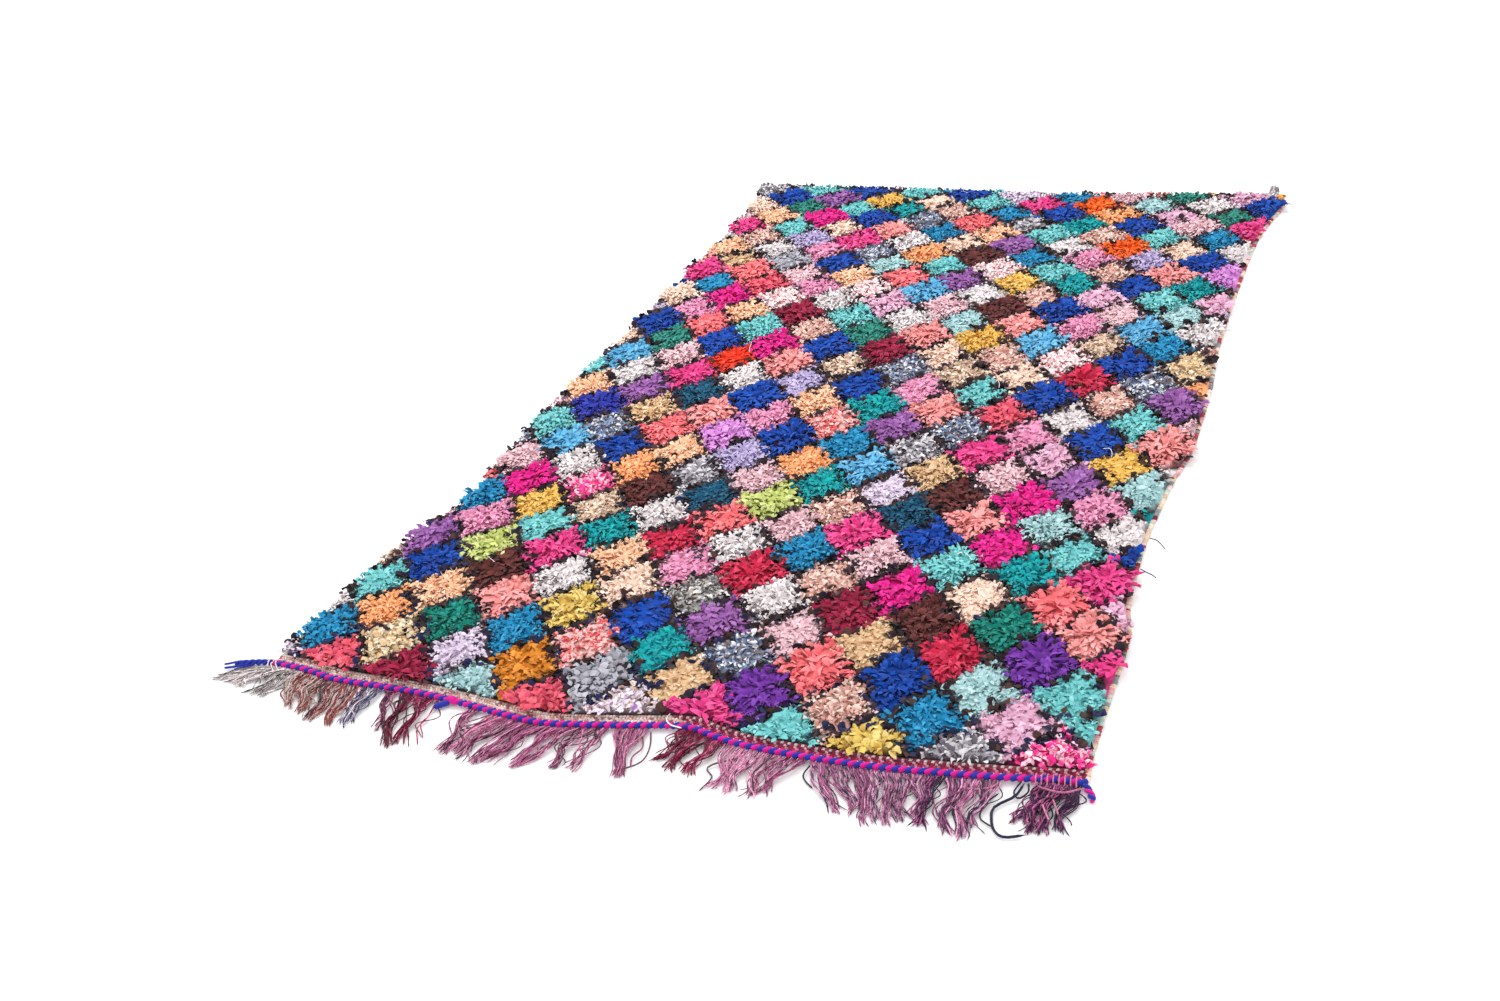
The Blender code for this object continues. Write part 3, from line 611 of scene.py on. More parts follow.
def add_node(tree, kind, inputs, **settings):
    """A new shader node with its settings, each of its inputs given a value or linked to an output."""
    node = tree.nodes.new("ShaderNode" + kind)
    for name, value in settings.items():
        setattr(node, name, value)
    feed(tree, node, inputs)
    return node


def feed(tree, node, inputs):
    """Give each named input of a node its value, or link it to an output."""
    for name, value in inputs.items():
        if isinstance(value, bpy.types.NodeSocket):
            tree.links.new(value, node.inputs[name])
        else:
            node.inputs[name].default_value = value


def cloth_material(name):
    """Cloth in the mesh's own colours, or weft in runs of tones, with flecks, wrinkles and fibres."""
    roughness, sheen, wrinkle, fibre, fibre_depth, fade = LOOKS[name]
    material = bpy.data.materials.new(name)
    material.use_nodes = True
    tree = material.node_tree
    place = add_node(tree, "TexCoord", {}).outputs["Object"]

    def noise(scale, detail):
        """Noise in the piece's own coordinates."""
        return add_node(tree, "TexNoise", {"Scale": scale, "Detail": detail, "Vector": place}).outputs["Fac"]

    def spread(value, low, high):
        """A noise value brought between two limits."""
        least, most = NOISE_LIMITS
        limits = {"From Min": least, "From Max": most, "To Min": low, "To Max": high, "Value": value}
        return add_node(tree, "MapRange", limits).outputs["Result"]

    fleck = spread(noise(fibre, 3.0), 1.0 - fade, 1.0 + fade)
    scale, share = BLOTCH
    blotch = spread(noise(wrinkle * scale, 2.0), 1.0 - fade * share, 1.0 + fade * share)
    both = add_node(tree, "Math", {0: fleck, 1: blotch}, operation="MULTIPLY").outputs["Value"]
    folds = {"Strength": FOLD_STRENGTH, "Distance": FOLD_DEPTH, "Height": noise(wrinkle, 3.0)}
    if name == "ground_weft":
        colour = weft_runs(tree, place)
        folds["Normal"] = weft_ribs(tree, place)
    else:
        colour = add_node(tree, "Attribute", {}, attribute_name="rag_colour").outputs["Color"]
    tint = add_node(tree, "VectorMath", {0: colour, "Scale": both}, operation="SCALE").outputs["Vector"]
    threads = {"Strength": FIBRE_STRENGTH, "Distance": fibre_depth, "Height": noise(fibre, 2.0)}
    threads["Normal"] = add_node(tree, "Bump", folds).outputs["Normal"]
    smoother, rougher = ROUGHNESS_SPREAD
    feed(tree, tree.nodes["Principled BSDF"], {
        "Base Color": tint,
        "Roughness": spread(noise(wrinkle, 2.0), roughness + smoother, roughness + rougher),
        "Normal": add_node(tree, "Bump", threads).outputs["Normal"],
        "Sheen Weight": sheen,
        "Sheen Roughness": SHEEN_ROUGHNESS,
        "Specular IOR Level": SPECULAR,
    })


def weft_runs(tree, place):
    """Colour of weft that lies across the rug in runs of tones."""
    stretched = add_node(tree, "Mapping", {"Scale": WEFT_RUN, "Vector": place}).outputs["Vector"]
    runs = add_node(tree, "TexNoise", {"Scale": 1.0, "Detail": 2.0, "Vector": stretched}).outputs["Fac"]
    ramp = add_node(tree, "ValToRGB", {"Fac": runs})
    steps = ramp.color_ramp.elements
    ramp.color_ramp.interpolation = "CONSTANT"
    steps.remove(steps[1])
    for k, tone in enumerate(tones(WEFT_TONES)):
        step = steps.new(WEFT_STEPS[k]) if k else steps[0]
        step.color = (*tone, 1.0)
    return ramp.outputs["Color"]


def weft_ribs(tree, place):
    """Bump of the ribs that the weft makes."""
    inputs = {"Scale": WEFT_RIB_SCALE, "Distortion": 1.2, "Detail": 2.0, "Vector": place}
    wave = add_node(tree, "TexWave", inputs, bands_direction="Y").outputs["Fac"]
    ribs = {"Strength": RIB_STRENGTH, "Distance": FOLD_DEPTH, "Height": wave}
    return add_node(tree, "Bump", ribs).outputs["Normal"]


def nearest_diamond(u, v):
    """The diamond round each place in the lattice: row, number, share of the way to its edge, and offset."""
    even, odd = 2 * np.round(v / 2), 2 * np.floor(v / 2) + 1
    even_number, odd_number = np.round(u), np.round(u + 0.5)
    from_even = np.abs(u - even_number) * 2 + np.abs(v - even)
    from_odd = np.abs(u + 0.5 - odd_number) * 2 + np.abs(v - odd)
    nearer = from_even < from_odd
    row = np.where(nearer, even, odd)
    out_x = (u - np.where(nearer, even_number, odd_number - 0.5)) * 2
    number = np.where(nearer, even_number, odd_number)
    return row.astype(int), number.astype(int), np.where(nearer, from_even, from_odd), out_x, v - row


def stepped_share(out_x, out_y):
    """Distance from a diamond's middle to its edge, as a share, in the steps that whole knots make."""
    return (np.round(np.abs(out_x) * TILE_STEPS) + np.round(np.abs(out_y) * TILE_STEPS)) / TILE_STEPS


def plan_knots():
    """Every knot's place, the diamond it belongs to, and whether it is in that diamond's colour."""
    rng = np.random.default_rng(3)
    first, last = COLUMN_SPAN
    columns = np.arange(first * KNOTS_PER_COLUMN, last * KNOTS_PER_COLUMN) / KNOTS_PER_COLUMN
    rows = np.arange(int(LAST_ROW * KNOTS_PER_ROW) + 1) / KNOTS_PER_ROW
    u, v = np.meshgrid(columns, rows)
    x = curve(FIRST_COLUMN, v) + curve(COLUMN_WIDTH, v) * u
    y = row_y(v, x)
    past_left = x > curve(LEFT_EDGE, y) + SELVEDGE_WIDTH * LEFT_MARGIN
    inside = past_left & (x < curve(RIGHT_EDGE, y) - SELVEDGE_WIDTH)
    u, v, x, y = u[inside], v[inside], x[inside], y[inside]
    n = len(x)
    row, diamond, share, out_x, out_y = nearest_diamond(u, v)
    stray_x, stray_y = rng.normal(0.0, STEP_JITTER, n), rng.normal(0.0, STEP_JITTER, n)
    stepped = stepped_share(out_x + stray_x, out_y + stray_y)
    tip = (np.abs(out_x) < TIP_HALF_WIDTH) & (np.abs(out_y) > TIP_FROM) & (rng.random(n) < TIP_CHANCE)
    coloured = (stepped < COLOUR_SHARE) | tip | (rng.random(n) < WORN_OUTLINE * y)
    x = x + rng.uniform(-KNOT_JITTER, KNOT_JITTER, n)
    y = y + rng.uniform(-KNOT_JITTER, KNOT_JITTER, n)
    return {
        "row": row, "diamond": diamond, "share": share, "x": x, "y": y, "out_x": out_x, "out_y": out_y,
        "coloured": coloured,
        "hem": y - curve(NEAR_EDGE, x) - BAND_EDGE_OFFSET - BAND_WIDTH,
        "far_end": v > LAST_ROW - FAR_TURN_ROWS,
        "edge": np.where(coloured, np.clip(stepped, 0.0, EDGE_SHARE_MOST), 0.0),
    }


def choose_rags():
    """The rags of each diamond: the landmarks, then a seeded choice with no two alike side by side."""
    draw = random.Random(RAG_SEED)
    names = list(RAGS)
    weights = [RAGS[name][1] for name in names]
    chosen = {(row, diamond): name for row, places in LANDMARKS.items() for diamond, name in places.items()}
    for row in range(DIAMOND_ROWS):
        for diamond in range(*DIAMOND_SPAN):
            shift = -1 if row % 2 else 1
            beside = ((0, -1), (0, 1), (-2, 0), (-1, 0), (-1, shift), (1, 0), (1, shift))
            taken = {chosen.get((row + up, diamond + along)) for up, along in beside}
            while (row, diamond) not in chosen:
                name = draw.choices(names, weights)[0]
                if name not in taken:
                    chosen[row, diamond] = name
    return chosen


def strip_points(roots, heading, reach, rise, width, roll, twist, cut, across, rng):
    """Points of torn strips that rise from their roots and bend over along their headings."""
    t, widths = np.array(cut).T[:, None, :, None]
    forward = np.stack([np.cos(heading), np.sin(heading), np.zeros_like(heading)], 1)[:, None]
    side = np.stack([-np.sin(heading), np.cos(heading), np.zeros_like(heading)], 1)[:, None]
    up = np.array([0.0, 0.0, 1.0])
    reach, rise, width = reach[:, None, None], rise[:, None, None], width[:, None, None]
    knee = forward * reach * KNEE[0] + up * rise * KNEE[1]
    tip = forward * reach + up * rise * TIP_RISE
    spine = roots[:, None] + 2 * t * (1 - t) * knee + t * t * tip
    tangent = 2 * (1 - 2 * t) * knee + 2 * t * tip
    tangent /= np.linalg.norm(tangent, axis=2, keepdims=True)
    normal = np.cross(tangent, side)
    angle = roll[:, None, None] + twist[:, None, None] * (t - 0.5)
    flank = side * np.cos(angle) + normal * np.sin(angle)
    face = normal * np.cos(angle) - side * np.sin(angle)
    half = 0.5 * width * widths
    half = half * rng.uniform(1.0 - WIDTH_NOISE, 1.0 + WIDTH_NOISE, half.shape[:2] + (1,))
    lines = [spine - flank * half, spine + flank * half]
    if across == 3:
        fold = rng.uniform(-CREASE, CREASE, spine.shape[:2])[..., None] * width
        lines.insert(1, spine + face * fold * 2)
    points = np.stack(lines, 2)
    points += rng.normal(0.0, CRUMPLE, points.shape)
    points[..., 2] = np.maximum(points[..., 2], STRIP_FLOOR)
    return points


def strip_colours(cloth, table, shape, rng):
    """Colours of strips from each one's own tones: plain, flecked as tweed, or specked as a print."""
    n, tone_count = table.shape[:2]
    each = np.arange(n)
    if cloth == "print":
        which = rng.integers(0, tone_count, shape)
        ground = rng.integers(0, 2, (n, 1, 1))
        which = np.where(rng.random(shape) < PRINT_SPECKLE, which, ground)
        colours = table[each[:, None, None], which]
    else:
        colours = table[each, rng.integers(0, tone_count, n)][:, None, None]
        if cloth == "tweed":
            other = table[each, rng.integers(0, tone_count, n)][:, None, None]
            colours = np.where((rng.random(shape) < TWEED_MIX)[..., None], other, colours)
    colours = np.broadcast_to(colours, (*shape, 3)) * (1.0 + rng.normal(0.0, TONE_SPREAD, (n, 1, 1, 1)))
    # Painted shade: darker towards the root of each strip.
    shade, power = ROOT_SHADE
    return colours * (shade + (1.0 - shade) * np.array(CUTS[cloth])[:, 0] ** power)[None, :, None, None]


def tuft(knots, pick, cloth, palette, rng, style):
    """Strips of one cloth on the picked knots: their points and colours."""
    count, width, reach, rise, roll_spread, across = TUFTS[cloth]
    index = np.repeat(np.nonzero(pick)[0], count)
    n = len(index)
    fan, stray = FANS[cloth]
    out = np.stack([knots["out_x"][index], knots["out_y"][index]], 1) * fan
    aim = out + LEAN + rng.normal(0.0, stray, (n, 2))
    held = (rng.random(n) < HEM_HOLD) & (knots["x"][index] > HEM_LOOSE_TO)
    hem = (knots["hem"][index] < HEM_DEPTH) & held
    aim[:, 1] = np.where(hem, np.abs(aim[:, 1]) * HEM_TURN, aim[:, 1])
    aim[:, 1] = np.where(knots["far_end"][index], -np.abs(aim[:, 1]) - FAR_TURN, aim[:, 1])
    heading = np.arctan2(aim[:, 1], aim[:, 0])
    spread = 0.5 * KNOT_PITCH
    roots = np.stack([
        knots["x"][index] + rng.uniform(-spread, spread, n),
        knots["y"][index] + rng.uniform(-spread, spread, n),
        np.full(n, KNOT_HEIGHT),
    ], 1)
    size = style[index]
    full, loss, power = EDGE_REACH
    reach = reach * (full - loss * knots["edge"][index] ** power)
    lift = rise * size * rng.uniform(*RISE_SPREAD, n) * (1.0 - EDGE_DROP * knots["share"][index] ** 2)
    points = strip_points(
        roots, heading, reach * size * rng.uniform(*SIZE_SPREAD, n), lift - KNOT_HEIGHT,
        width * rng.uniform(*SIZE_SPREAD, n), rng.normal(0.0, roll_spread, n), rng.normal(0.0, TWIST, n),
        CUTS[cloth], across, rng,
    )
    return points, strip_colours(cloth, palette[index], points.shape[:3], rng)


def make_pile(knots, rags):
    """The knotted rags: wide strips, narrow strips and the dark outlines, each in a near and a far piece."""
    rng = np.random.default_rng(17)
    total = len(knots["x"])
    cloths = np.full(total, "wool", dtype="U8")
    palette = np.zeros((total, 4, 3))
    style = np.ones(total)
    sizes = {}
    outline = tones(OUTLINE_TONES)
    brown, navy = linear(OUTLINE_BROWN), linear(OUTLINE_NAVY)
    for k in range(total):
        if not knots["coloured"][k]:
            palette[k] = outline
            if rng.random() < BROWN_CHANCE[0] + BROWN_CHANCE[1] * knots["x"][k]:
                palette[k, 2] = brown
            if rng.random() < NAVY_CHANCE[0] * math.exp(-max(knots["y"][k], 0.0) / NAVY_CHANCE[1]):
                palette[k, :2] = navy
            continue
        diamond = (knots["row"][k], knots["diamond"][k])
        cloths[k], _, names = RAGS[rags[diamond]]
        colours = tones(names)
        palette[k] = colours[np.arange(4) % len(colours)]
        style[k] = sizes.setdefault(diamond, rng.uniform(*DIAMOND_SIZES))
    far = knots["y"] > curve(ROW_PLACES, FAR_PIECES_FROM)
    for name, kinds, dress in PILE_PIECES:
        for end, side in (("near", ~far), ("far", far)):
            made = [tuft(knots, (cloths == kind) & side, kind, palette, rng, style) for kind in kinds]
            points, colours = [np.concatenate(items) for items in zip(*made)]
            make_piece(f"{name}_{end}", points, colours, dress, closed=False)


def make_knot_bed(rags):
    """The knots' own loops round the warps: a lumpy bed under the strips, in their colours with painted
    shade.
    """
    rng = np.random.default_rng(29)
    rows = np.arange(1, int(LAST_ROW * KNOTS_PER_ROW) + 1) / KNOTS_PER_ROW
    s, v = np.meshgrid(np.linspace(0.0, 1.0, BED_COLUMNS), np.concatenate([BED_FOOT_ROWS, rows]))
    y = row_y(v, BED_START + s)
    x = curve(LEFT_EDGE, y) + SELVEDGE_WIDTH * BED_MARGIN
    x += (curve(RIGHT_EDGE, y) - SELVEDGE_WIDTH * BED_MARGIN - x) * s
    y = row_y(v, x)
    u = (x - curve(FIRST_COLUMN, v)) / curve(COLUMN_WIDTH, v)
    row, diamond, _, out_x, out_y = nearest_diamond(u, v)
    in_colour = stepped_share(out_x, out_y) < COLOUR_SHARE
    dark = tones(OUTLINE_TONES)[0]
    colours = np.tile(dark, (*x.shape, 1))
    # Painted shade: each knot in colour takes its rag's first tone, darkened by BED_SHADE.
    for place in map(tuple, np.argwhere(in_colour)):
        colours[place] = tones(RAGS[rags[row[place], diamond[place]]][2])[0] * BED_SHADE
    # Painted shade: the two rows by the band are darker still, and the first takes the outline's darkest
    # tone, for the gaps under the hanging strips.
    colours[:2] *= FOOT_SHADE
    colours[0] = dark
    z = BED_HEIGHT + rng.uniform(-KNOT_ROUGHNESS, KNOT_ROUGHNESS, x.shape)
    z = np.where(in_colour, z + BED_CROWN, z)
    z[:, (0, -1)] = RIM_HEIGHT
    z[(0, -1), :] = RIM_HEIGHT
    points = np.stack([x, y, z], -1)[None]
    make_piece("knot_bed", points, colours[None], BED_DRESS, closed=False)


def make_ground():
    """The woven ground: one thin closed sheet from the cord's line to the far hem."""
    s, t = np.meshgrid(*[np.linspace(0.0, 1.0, count) for count in GROUND_GRID])

    def along(x):
        """Distance along the rug of the sheet's points at x across."""
        near = curve(NEAR_EDGE, x) + BAND_EDGE_OFFSET - GROUND_TUCK
        return near + (row_y(LAST_ROW, x) + FAR_HEM - near) * t

    y = along(s * GROUND_REACH)
    left, right = curve(LEFT_EDGE, y) + GROUND_INSET, curve(RIGHT_EDGE, y) - GROUND_INSET
    x = left + (right - left) * s
    y = along(x)
    rise = np.where((s > 0) & (s < 1) & (t > 0) & (t < 1), GROUND_TOP, GROUND_RIM)
    top = np.stack([x, y, rise], -1)
    under = np.stack([x, y, np.full_like(x, GROUND_UNDER)], -1)
    points = np.stack([top, under[:, ::-1]], 0)
    colours = tones(BAND_BEIGE)[[1, 1]]
    piece = make_piece("ground_weave", points, colours, GROUND_DRESS, closed=False, mapped=False)
    join_rims(piece.data, s.shape)
    return piece


def join_rims(mesh, shape):
    """Close the gap between a sheet's top and its underside, which is listed right to left."""
    top = np.arange(shape[0] * shape[1]).reshape(shape)
    under = top[:, ::-1] + top.size
    bm = bmesh.new()
    bm.from_mesh(mesh)
    bm.verts.ensure_lookup_table()
    for high, low in zip(*[(grid[0], grid[:, -1], grid[-1, ::-1], grid[::-1, 0]) for grid in (top, under)]):
        for k in range(len(high) - 1):
            corners = (high[k + 1], high[k], low[k], low[k + 1])
            bm.faces.new([bm.verts[index] for index in corners])
    bmesh.ops.recalc_face_normals(bm, faces=bm.faces)
    for face in bm.faces:
        face.smooth = True
    bm.to_mesh(mesh)
    bm.free()


def stitch_points(places, angles, size, form=LOZENGE):
    """Points of stitches of one form, each turned about the vertical."""
    along, girth, sides = form
    length, width, height = size
    girth = np.array(girth)[:, None] / 2
    turn = np.arange(sides) * 2 * math.pi / sides
    x, y, z = np.array(along)[:, None] * length, girth * np.cos(turn) * width, girth * np.sin(turn) * height
    cos, sin = np.cos(angles)[:, None, None], np.sin(angles)[:, None, None]
    points = np.stack(np.broadcast_arrays(x * cos - y * sin, x * sin + y * cos, z), -1)
    return points + places[:, None, None]


def spotted(count, names, run, rng):
    """Colours of a row of stitches: one tone for a few stitches, then another."""
    table = tones(names)
    picks = []
    while len(picks) < count:
        picks += [rng.integers(0, len(table))] * int(rng.integers(1, run + 1))
    return table[np.array(picks[:count])] * (1.0 + rng.normal(0.0, TONE_NOISE, (count, 1)))


def twine(name, rows, size, span, line, colour, rng):
    """A piece of twined rows across the rug, each on its line and slanted against the one before."""
    length, _, height = size
    places, angles, colours = [], [], []
    for row in range(rows):
        x = np.arange(*span, length * TWINE_STEP) + rng.uniform(0.0, length * TWINE_SHIFT)
        y = line(x, row) + rng.normal(0.0, TWINE_NOISE[0], len(x))
        z = height / 2 + TWINE_LIFT + rng.normal(0.0, TWINE_NOISE[1], len(x))
        slope = (line(x + SLOPE_REACH, row) - line(x - SLOPE_REACH, row)) / (2 * SLOPE_REACH)
        places.append(np.stack([x, y, z], 1))
        angles.append(np.arctan(slope) + (TWINE_SLANT if row % 2 else -TWINE_SLANT))
        colours.append(colour(x, row, rng))
    points = stitch_points(np.concatenate(places), np.concatenate(angles), size)
    make_piece(name, points, np.concatenate(colours), YARN_DRESS)


def make_band():
    """Twined rows between the pile and the end cord: beige at the left, brick and pink past BRICK_FROM."""

    def line(x, row):
        """Distance along the rug of a row."""
        return curve(NEAR_EDGE, x) + (BAND_EDGE_OFFSET + BAND_FOOT + row * BAND_STITCH[1])

    def colour(x, row, rng):
        """Colours of a row's stitches."""
        beige = spotted(len(x), BAND_BEIGE, 1, rng)
        repeat = tones(BRICK_ROWS[row])
        brick = repeat[np.arange(len(x)) % len(repeat)] * (1.0 + rng.normal(0.0, BRICK_NOISE, (len(x), 1)))
        return np.where((x > BRICK_FROM + rng.normal(0.0, BRICK_FROM_NOISE))[:, None], brick, beige)

    rng = np.random.default_rng(41)
    twine("end_band", BAND_ROWS, BAND_STITCH, BAND_SPAN, line, colour, rng)


def make_far_hem():
    """Twined rows that close the weave at the far end."""

    def line(x, row):
        """Distance along the rug of a row."""
        return row_y(LAST_ROW, x) + (FAR_HEM - HEM_STITCH[1] * (row + 0.5))

    def colour(x, row, rng):
        """Colours of a row's stitches."""
        return spotted(len(x), BAND_BEIGE, 2, rng)

    rng = np.random.default_rng(43)
    twine("far_hem", HEM_ROWS, HEM_STITCH, HEM_SPAN, line, colour, rng)


def make_selvedge(name, edge, side, seed):
    """Weft loops over one side edge, in bands of colour."""
    rng = np.random.default_rng(seed)
    length, height = RIB
    y = np.arange(*RIB_SPAN, RIB_PITCH)
    y = y[(y > curve(NEAR_EDGE, curve(edge, y)) + BAND_EDGE_OFFSET) & (y < row_y(LAST_ROW, curve(edge, y)))]
    x = curve(edge, y) - side * (length / 2 - RIB_INSET) + rng.normal(0.0, RIB_NOISE[0], len(y))
    z = np.full(len(y), height / 2 + RIB_LIFT)
    angles = side * RIB_SLANT + rng.normal(0.0, RIB_NOISE[1], len(y))
    points = stitch_points(np.stack([x, y, z], 1), angles, (length, RIB_PITCH * RIB_LAP, height))
    make_piece(name, points, spotted(len(y), RIB_TONES, RIB_RUN, rng), YARN_DRESS)


def even_points(route, spacing):
    """Points at even spacing along a route, and the distance of each from the start."""
    route = np.array(route, float)
    lengths = np.concatenate([[0.0], np.cumsum(np.linalg.norm(np.diff(route, axis=0), axis=1))])
    want = np.linspace(0.0, lengths[-1], max(2, round(lengths[-1] / spacing) + 1))
    return np.stack([np.interp(want, lengths, route[:, k]) for k in range(3)], 1), want


def smoothed(route, steps):
    """A smooth line through a route's points, with so many steps to a run."""
    route = np.array(route, float)
    t = np.arange(len(route))
    fine = np.linspace(0, len(route) - 1, (len(route) - 1) * steps + 1)
    return np.stack([curve(np.stack([t, route[:, k]], 1), fine) for k in range(3)], 1)


def directions(spine):
    """Direction of a line at each of its points, and the level line square to it."""
    tangent = np.gradient(spine, axis=0)
    tangent /= np.linalg.norm(tangent, axis=1, keepdims=True)
    return tangent, np.cross(tangent, (0.0, 0.0, 1.0))


def tube_points(spine, radius, sides, lobes=0.0, turn=0.0):
    """Points of a tube round a line, nearly closed at both ends, with optional twisted lobes."""
    tangent, across = directions(spine)
    across /= np.maximum(np.linalg.norm(across, axis=1, keepdims=True), 1e-6)
    upward = np.cross(across, tangent)
    angle = np.arange(sides) * 2 * math.pi / sides
    girth = np.full((len(spine), sides), 1.0)
    girth += lobes * np.cos(2 * (angle[None] - np.reshape(turn, (-1, 1))))
    girth *= np.asarray(radius).reshape(-1, 1)
    girth[[0, -1]] *= TUBE_END
    return (
        spine[:, None]
        + across[:, None] * (np.cos(angle)[None] * girth)[..., None]
        + upward[:, None] * (np.sin(angle)[None] * girth)[..., None]
    )


def ply_pair(route):
    """Points of the two plies of a cord along a short route."""
    spine, want = even_points(smoothed(route, CORD_SMOOTHING), CORD_PITCH / CORD_STEPS_PER_TURN)
    tangent, across = directions(spine)
    upward = np.cross(across, tangent)
    plies = []
    for start in (0.0, math.pi):
        turn = want * 2 * math.pi / CORD_PITCH + start
        offset = across * np.cos(turn)[:, None] + upward * np.sin(turn)[:, None]
        plies.append(tube_points(spine + offset * CORD_ORBIT, CORD_PLY, CORD_SIDES))
    return np.stack(plies)


def make_cord():
    """The end cord: bean-shaped turns of two plies in turn along the band, its knot and its tails."""
    start = curve(LEFT_EDGE, NEAR_EDGE[0][1]) + TAIL_OVERLAP
    end = curve(RIGHT_EDGE, NEAR_EDGE[-1][1]) - TAIL_OVERLAP
    x = np.linspace(start, end, CORD_POINTS)
    route = np.stack([x, curve(NEAR_EDGE, x), np.full(CORD_POINTS, CORD_HEIGHT)], 1)
    line, want = even_points(route, MILLIMETRE)
    first, last = CORD_TURNS
    count = round(want[-1] / (first + last) * 2)
    steps = np.cumsum(np.linspace(first, last, count)) - first / 2
    steps *= want[-1] / (steps[-1] + last / 2)
    spine = np.stack([np.interp(steps, want, line[:, k]) for k in range(3)], 1)
    tangent = np.gradient(spine, axis=0)
    angles = np.arctan2(tangent[:, 1], tangent[:, 0]) + CORD_SLANT
    length, width, height = CORD_STITCH
    points = stitch_points(spine, angles, (first * length, width, height), BEAN)
    colours = np.where(np.arange(count)[:, None] % 2 == 0, linear(MAGENTA), linear(BLUE))
    make_piece("end_cord_turns", points, colours, CORD_DRESS)
    parts = []
    for x, off, z, angle, size, _ in CORD_KNOT:
        place = np.array([(x, curve(NEAR_EDGE, KNOT_PLACE) + off, z)])
        parts.append(stitch_points(place, np.array([angle]), size, BEAN))
    colours = np.array([linear(row[-1]) for row in CORD_KNOT])
    make_piece("end_cord_knot", np.concatenate(parts), colours, CORD_DRESS)
    for name, (route, *plies) in CORD_TAILS.items():
        points = ply_pair(np.array(route) * MILLIMETRE)
        colours = np.array([linear(tone) for tone in plies])
        make_piece(name, points, colours, CORD_DRESS)
    make_strands("left_tail_ends", in_metres(TAIL_ENDS), CORD_DRESS)


def in_metres(rows):
    """Rows of radius, tone and route that are given in millimetres."""
    return [(radius * MILLIMETRE, tone, np.array(route) * MILLIMETRE) for radius, tone, route in rows]


def make_strands(name, rows, dress):
    """One piece of fine strands, from rows of radius, tone and route."""
    strands = []
    for radius, _, route in rows:
        line = smoothed(route, STRAND_SMOOTHING)
        line = line[np.linspace(0, len(line) - 1, STRAND_STEPS).round().astype(int)]
        strands.append(tube_points(line, radius, STRAND_SIDES))
    colours = np.array([linear(row[1]) for row in rows])
    make_piece(name, np.stack(strands), colours, dress)


def make_threads():
    """Fine strings: ties over the left tail, pink whipping at the right end, loose threads on the pile."""
    rng = np.random.default_rng(71)
    rows = in_metres(STRINGS)
    for k in range(WHIPS):
        x = WHIPS_FROM + WHIP_SPACING * k
        y = float(curve(NEAR_EDGE, x))
        rows.append((WHIP_RADIUS, WHIP_TONE, np.array(WHIP_ROUTE) + (x, y, 0.0)))
    for x, y, length in LOOSE_ENDS:
        heading = rng.uniform(0.0, 2 * math.pi)
        route = []
        for k in range(LOOSE_POINTS):
            heading += rng.normal(0.0, LOOSE_TURN)
            route.append((x, y, LOOSE_HEIGHT[0] + LOOSE_HEIGHT[1] * math.sin(k * LOOSE_WAVE)))
            x += math.cos(heading) * length / (LOOSE_POINTS - 1)
            y += math.sin(heading) * length / (LOOSE_POINTS - 1)
        rows.append((LOOSE_RADIUS, LOOSE_TONE, route))
    make_strands("loose_threads", rows, FRINGE_DRESS)


def sway(t, phase, waves):
    """Swing to the side along a slack yarn, none at its root."""
    return np.sin(2 * math.pi * t * waves + phase) - math.sin(phase) * (1 - t)


def bundle_spine(root, tip, t, rng):
    """Middle line of a bundle of yarns on the floor, from its root to its tip, with a slack bend or two."""
    phase = rng.uniform(0.0, 2 * math.pi)
    swing = sway(t, phase, rng.uniform(*SLACK_WAVES))
    swing += RIPPLE * np.sin(2 * math.pi * t * rng.uniform(*RIPPLE_WAVES) + phase * 2)
    bend = rng.uniform(*BUNDLE_BEND)
    x = root[0] + (tip[0] - root[0]) * (t + bend * t * (t - 1)) + WAVE * swing * np.sin(math.pi * t * 0.8)
    return x, root[1] + (tip[1] - root[1]) * t


def yarn_colours(turn, table, rng):
    """Two tones twisted round each other along a yarn."""
    first, second = table[rng.choice(len(table), 2, p=TONE_CHANCES)]
    angle = np.arange(YARN_SIDES) * 2 * math.pi / YARN_SIDES
    ply = (np.cos(angle[None] - turn[:, None]) > 0)[..., None]
    return np.where(ply, first, second) * (1.0 + rng.normal(0.0, YARN_NOISE))


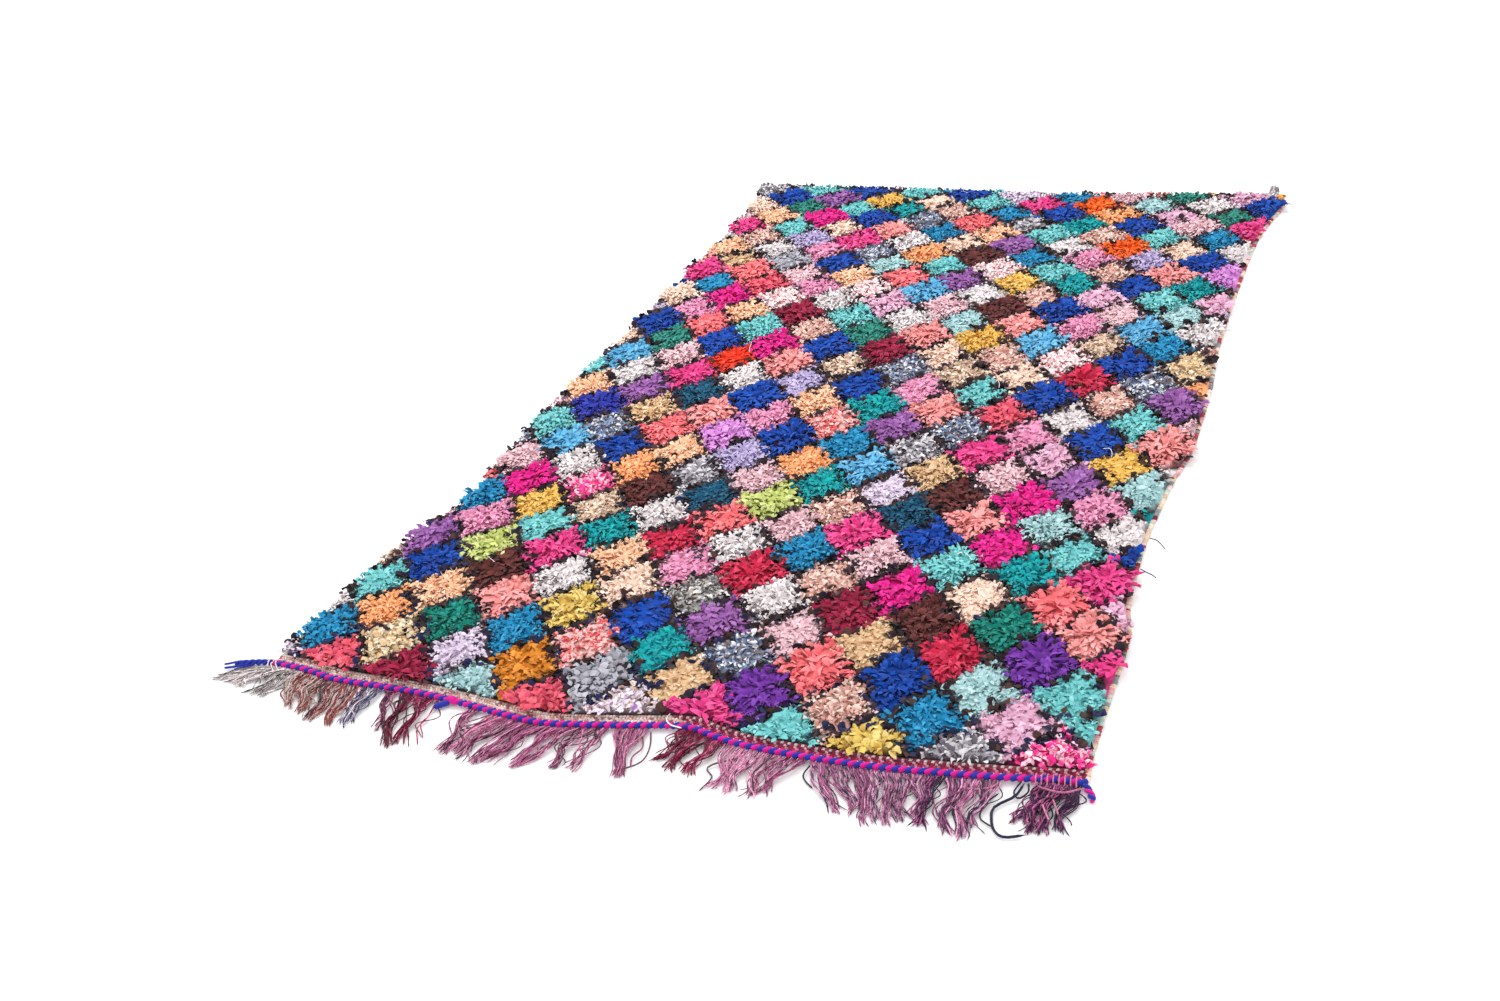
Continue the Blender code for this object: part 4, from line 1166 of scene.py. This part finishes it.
def make_fringe():
    """Warp yarns below the cord: the yarns of each bundle draw together, twist and fan out at their tips."""
    rng = np.random.default_rng(53)
    t = np.linspace(0.0, 1.0, YARN_STEPS)
    fan = np.clip((t - FAN_FROM) / (1.0 - FAN_FROM), 0.0, 1.0) ** FAN_POWER
    yarns, colours = [], []
    for *lengths, count, gather, names in BUNDLES:
        root_from, root_to, tip_x, tip_y, tip_half = np.array(lengths) * MILLIMETRE
        table = tones(names)
        middle = (root_from + root_to) / 2
        root_y = float(curve(NEAR_EDGE, middle)) + FRINGE_ROOT_OFFSET
        x, y = bundle_spine((middle, root_y), (tip_x, tip_y), t, rng)
        drawn = np.clip(t / gather, 0.0, 1.0)
        apart = 1.0 - drawn * drawn * (3.0 - 2.0 * drawn)
        spin = rng.choice((-1, 1)) * rng.uniform(*BUNDLE_SPINS)
        count = round(count * YARN_SHARE)
        thick = BUNDLE_THICKNESS * math.sqrt(count)
        for k in range(count):
            root = root_from + (root_to - root_from) * (k + rng.uniform(*ROOT_PLACES)) / count
            drop = float(curve(NEAR_EDGE, root)) + FRINGE_ROOT_OFFSET - root_y
            orbit = thick * math.sqrt(rng.random())
            turn = 2 * math.pi * rng.random() + spin * t
            stray = rng.random() < STRAY_SHARE
            side = rng.uniform(-1.0, 1.0) * tip_half * (STRAY_SPREAD if stray else 1.0)
            own = rng.uniform(*YARN_LENGTHS)
            line_x = x + (root - middle) * apart + orbit * np.cos(turn) * (1 - apart) + side * fan
            if stray:
                phase = rng.uniform(0.0, 2 * math.pi)
                swing = STRAY_SWING * sway(t, phase, rng.uniform(*STRAY_WAVES))
                line_x = line_x + swing * np.sin(math.pi * np.minimum(t * 0.9, 0.8))
            line_y = root_y + drop * apart + (y - root_y) * own
            line_y = line_y + orbit * ORBIT_ALONG * np.sin(turn) * (1 - apart)
            line_z = FLOOR_GAP + orbit * ORBIT_UP * (1 + np.sin(turn)) * (1 - apart)
            line_z = line_z + ROOT_LIFT * (1 - t) ** 3
            line_z = line_z + rng.uniform(0.0, HEAP) * np.sin(math.pi * np.minimum(t * 1.1, 1.0))
            line_z = np.maximum(line_z * (1 - TIP_DROP * fan), YARN_RADIUS * LEAST_HEIGHT)
            radius = YARN_RADIUS * rng.uniform(*YARN_RADIUS_SPREAD) * (1.0 - YARN_TAPER * t)
            ply = np.arange(YARN_STEPS) * YARN_PLY_STEP + rng.uniform(0.0, 6.0)
            line = np.stack([line_x, line_y, line_z], 1)
            yarns.append(tube_points(line, radius, YARN_SIDES, YARN_LOBES, ply))
            shade = yarn_colours(ply, table, rng)
            colours.append(shade * STRAY_SHADE if stray and rng.random() < 0.5 else shade)
    make_piece("warp_fringe", np.stack(yarns), np.stack(colours), FRINGE_DRESS)


def aim_camera():
    """The photograph's view of the rug."""
    data = bpy.data.cameras.new("camera")
    data.lens = CAMERA_LENS
    data.sensor_width = SENSOR_WIDTH
    camera = bpy.data.objects.new("camera", data)
    bpy.context.scene.collection.objects.link(camera)
    place = Vector(CAMERA_PLACE) - Vector((*BOX_CENTRE, 0.0))
    turn = Matrix((CAMERA_RIGHT, CAMERA_UP, -Vector(CAMERA_FORWARD))).transposed()
    camera.matrix_world = Matrix.Translation(place) @ turn.to_4x4()
    bpy.context.scene.camera = camera


def light_studio():
    """A plain pale floor, a broad soft light overhead and an even white surround."""
    bpy.ops.mesh.primitive_plane_add(size=FLOOR_SIZE, location=(0.0, 0.0, 0.0))
    floor = bpy.context.active_object
    floor.name = "floor"
    paper = bpy.data.materials.new("paper_floor")
    paper.use_nodes = True
    white = (FLOOR_WHITE, FLOOR_WHITE, FLOOR_WHITE, 1.0)
    feed(paper.node_tree, paper.node_tree.nodes["Principled BSDF"], {"Base Color": white, "Roughness": 0.95})
    floor.data.materials.append(paper)
    world = bpy.data.worlds.new("studio")
    world.use_nodes = True
    light = {"Color": (1.0, 1.0, 1.0, 1.0), "Strength": SURROUND}
    feed(world.node_tree, world.node_tree.nodes["Background"], light)
    bpy.context.scene.world = world
    for name, (place, size, power) in LAMPS.items():
        lamp = bpy.data.lights.new(name, "AREA")
        lamp.size = size
        lamp.energy = power
        item = bpy.data.objects.new(name, lamp)
        item.location = place
        item.rotation_euler = (-Vector(place)).to_track_quat("-Z", "Y").to_euler()
        bpy.context.scene.collection.objects.link(item)
    bpy.context.scene.view_settings.view_transform = "Standard"


aim_camera()
light_studio()
for material_name in LOOKS:
    cloth_material(material_name)
rags = choose_rags()
make_pile(plan_knots(), rags)
make_knot_bed(rags)
ground = make_ground()
make_band()
make_far_hem()
make_selvedge("left_selvedge", LEFT_EDGE, -1, 61)
make_selvedge("right_selvedge", RIGHT_EDGE, 1, 67)
make_cord()
make_threads()
make_fringe()
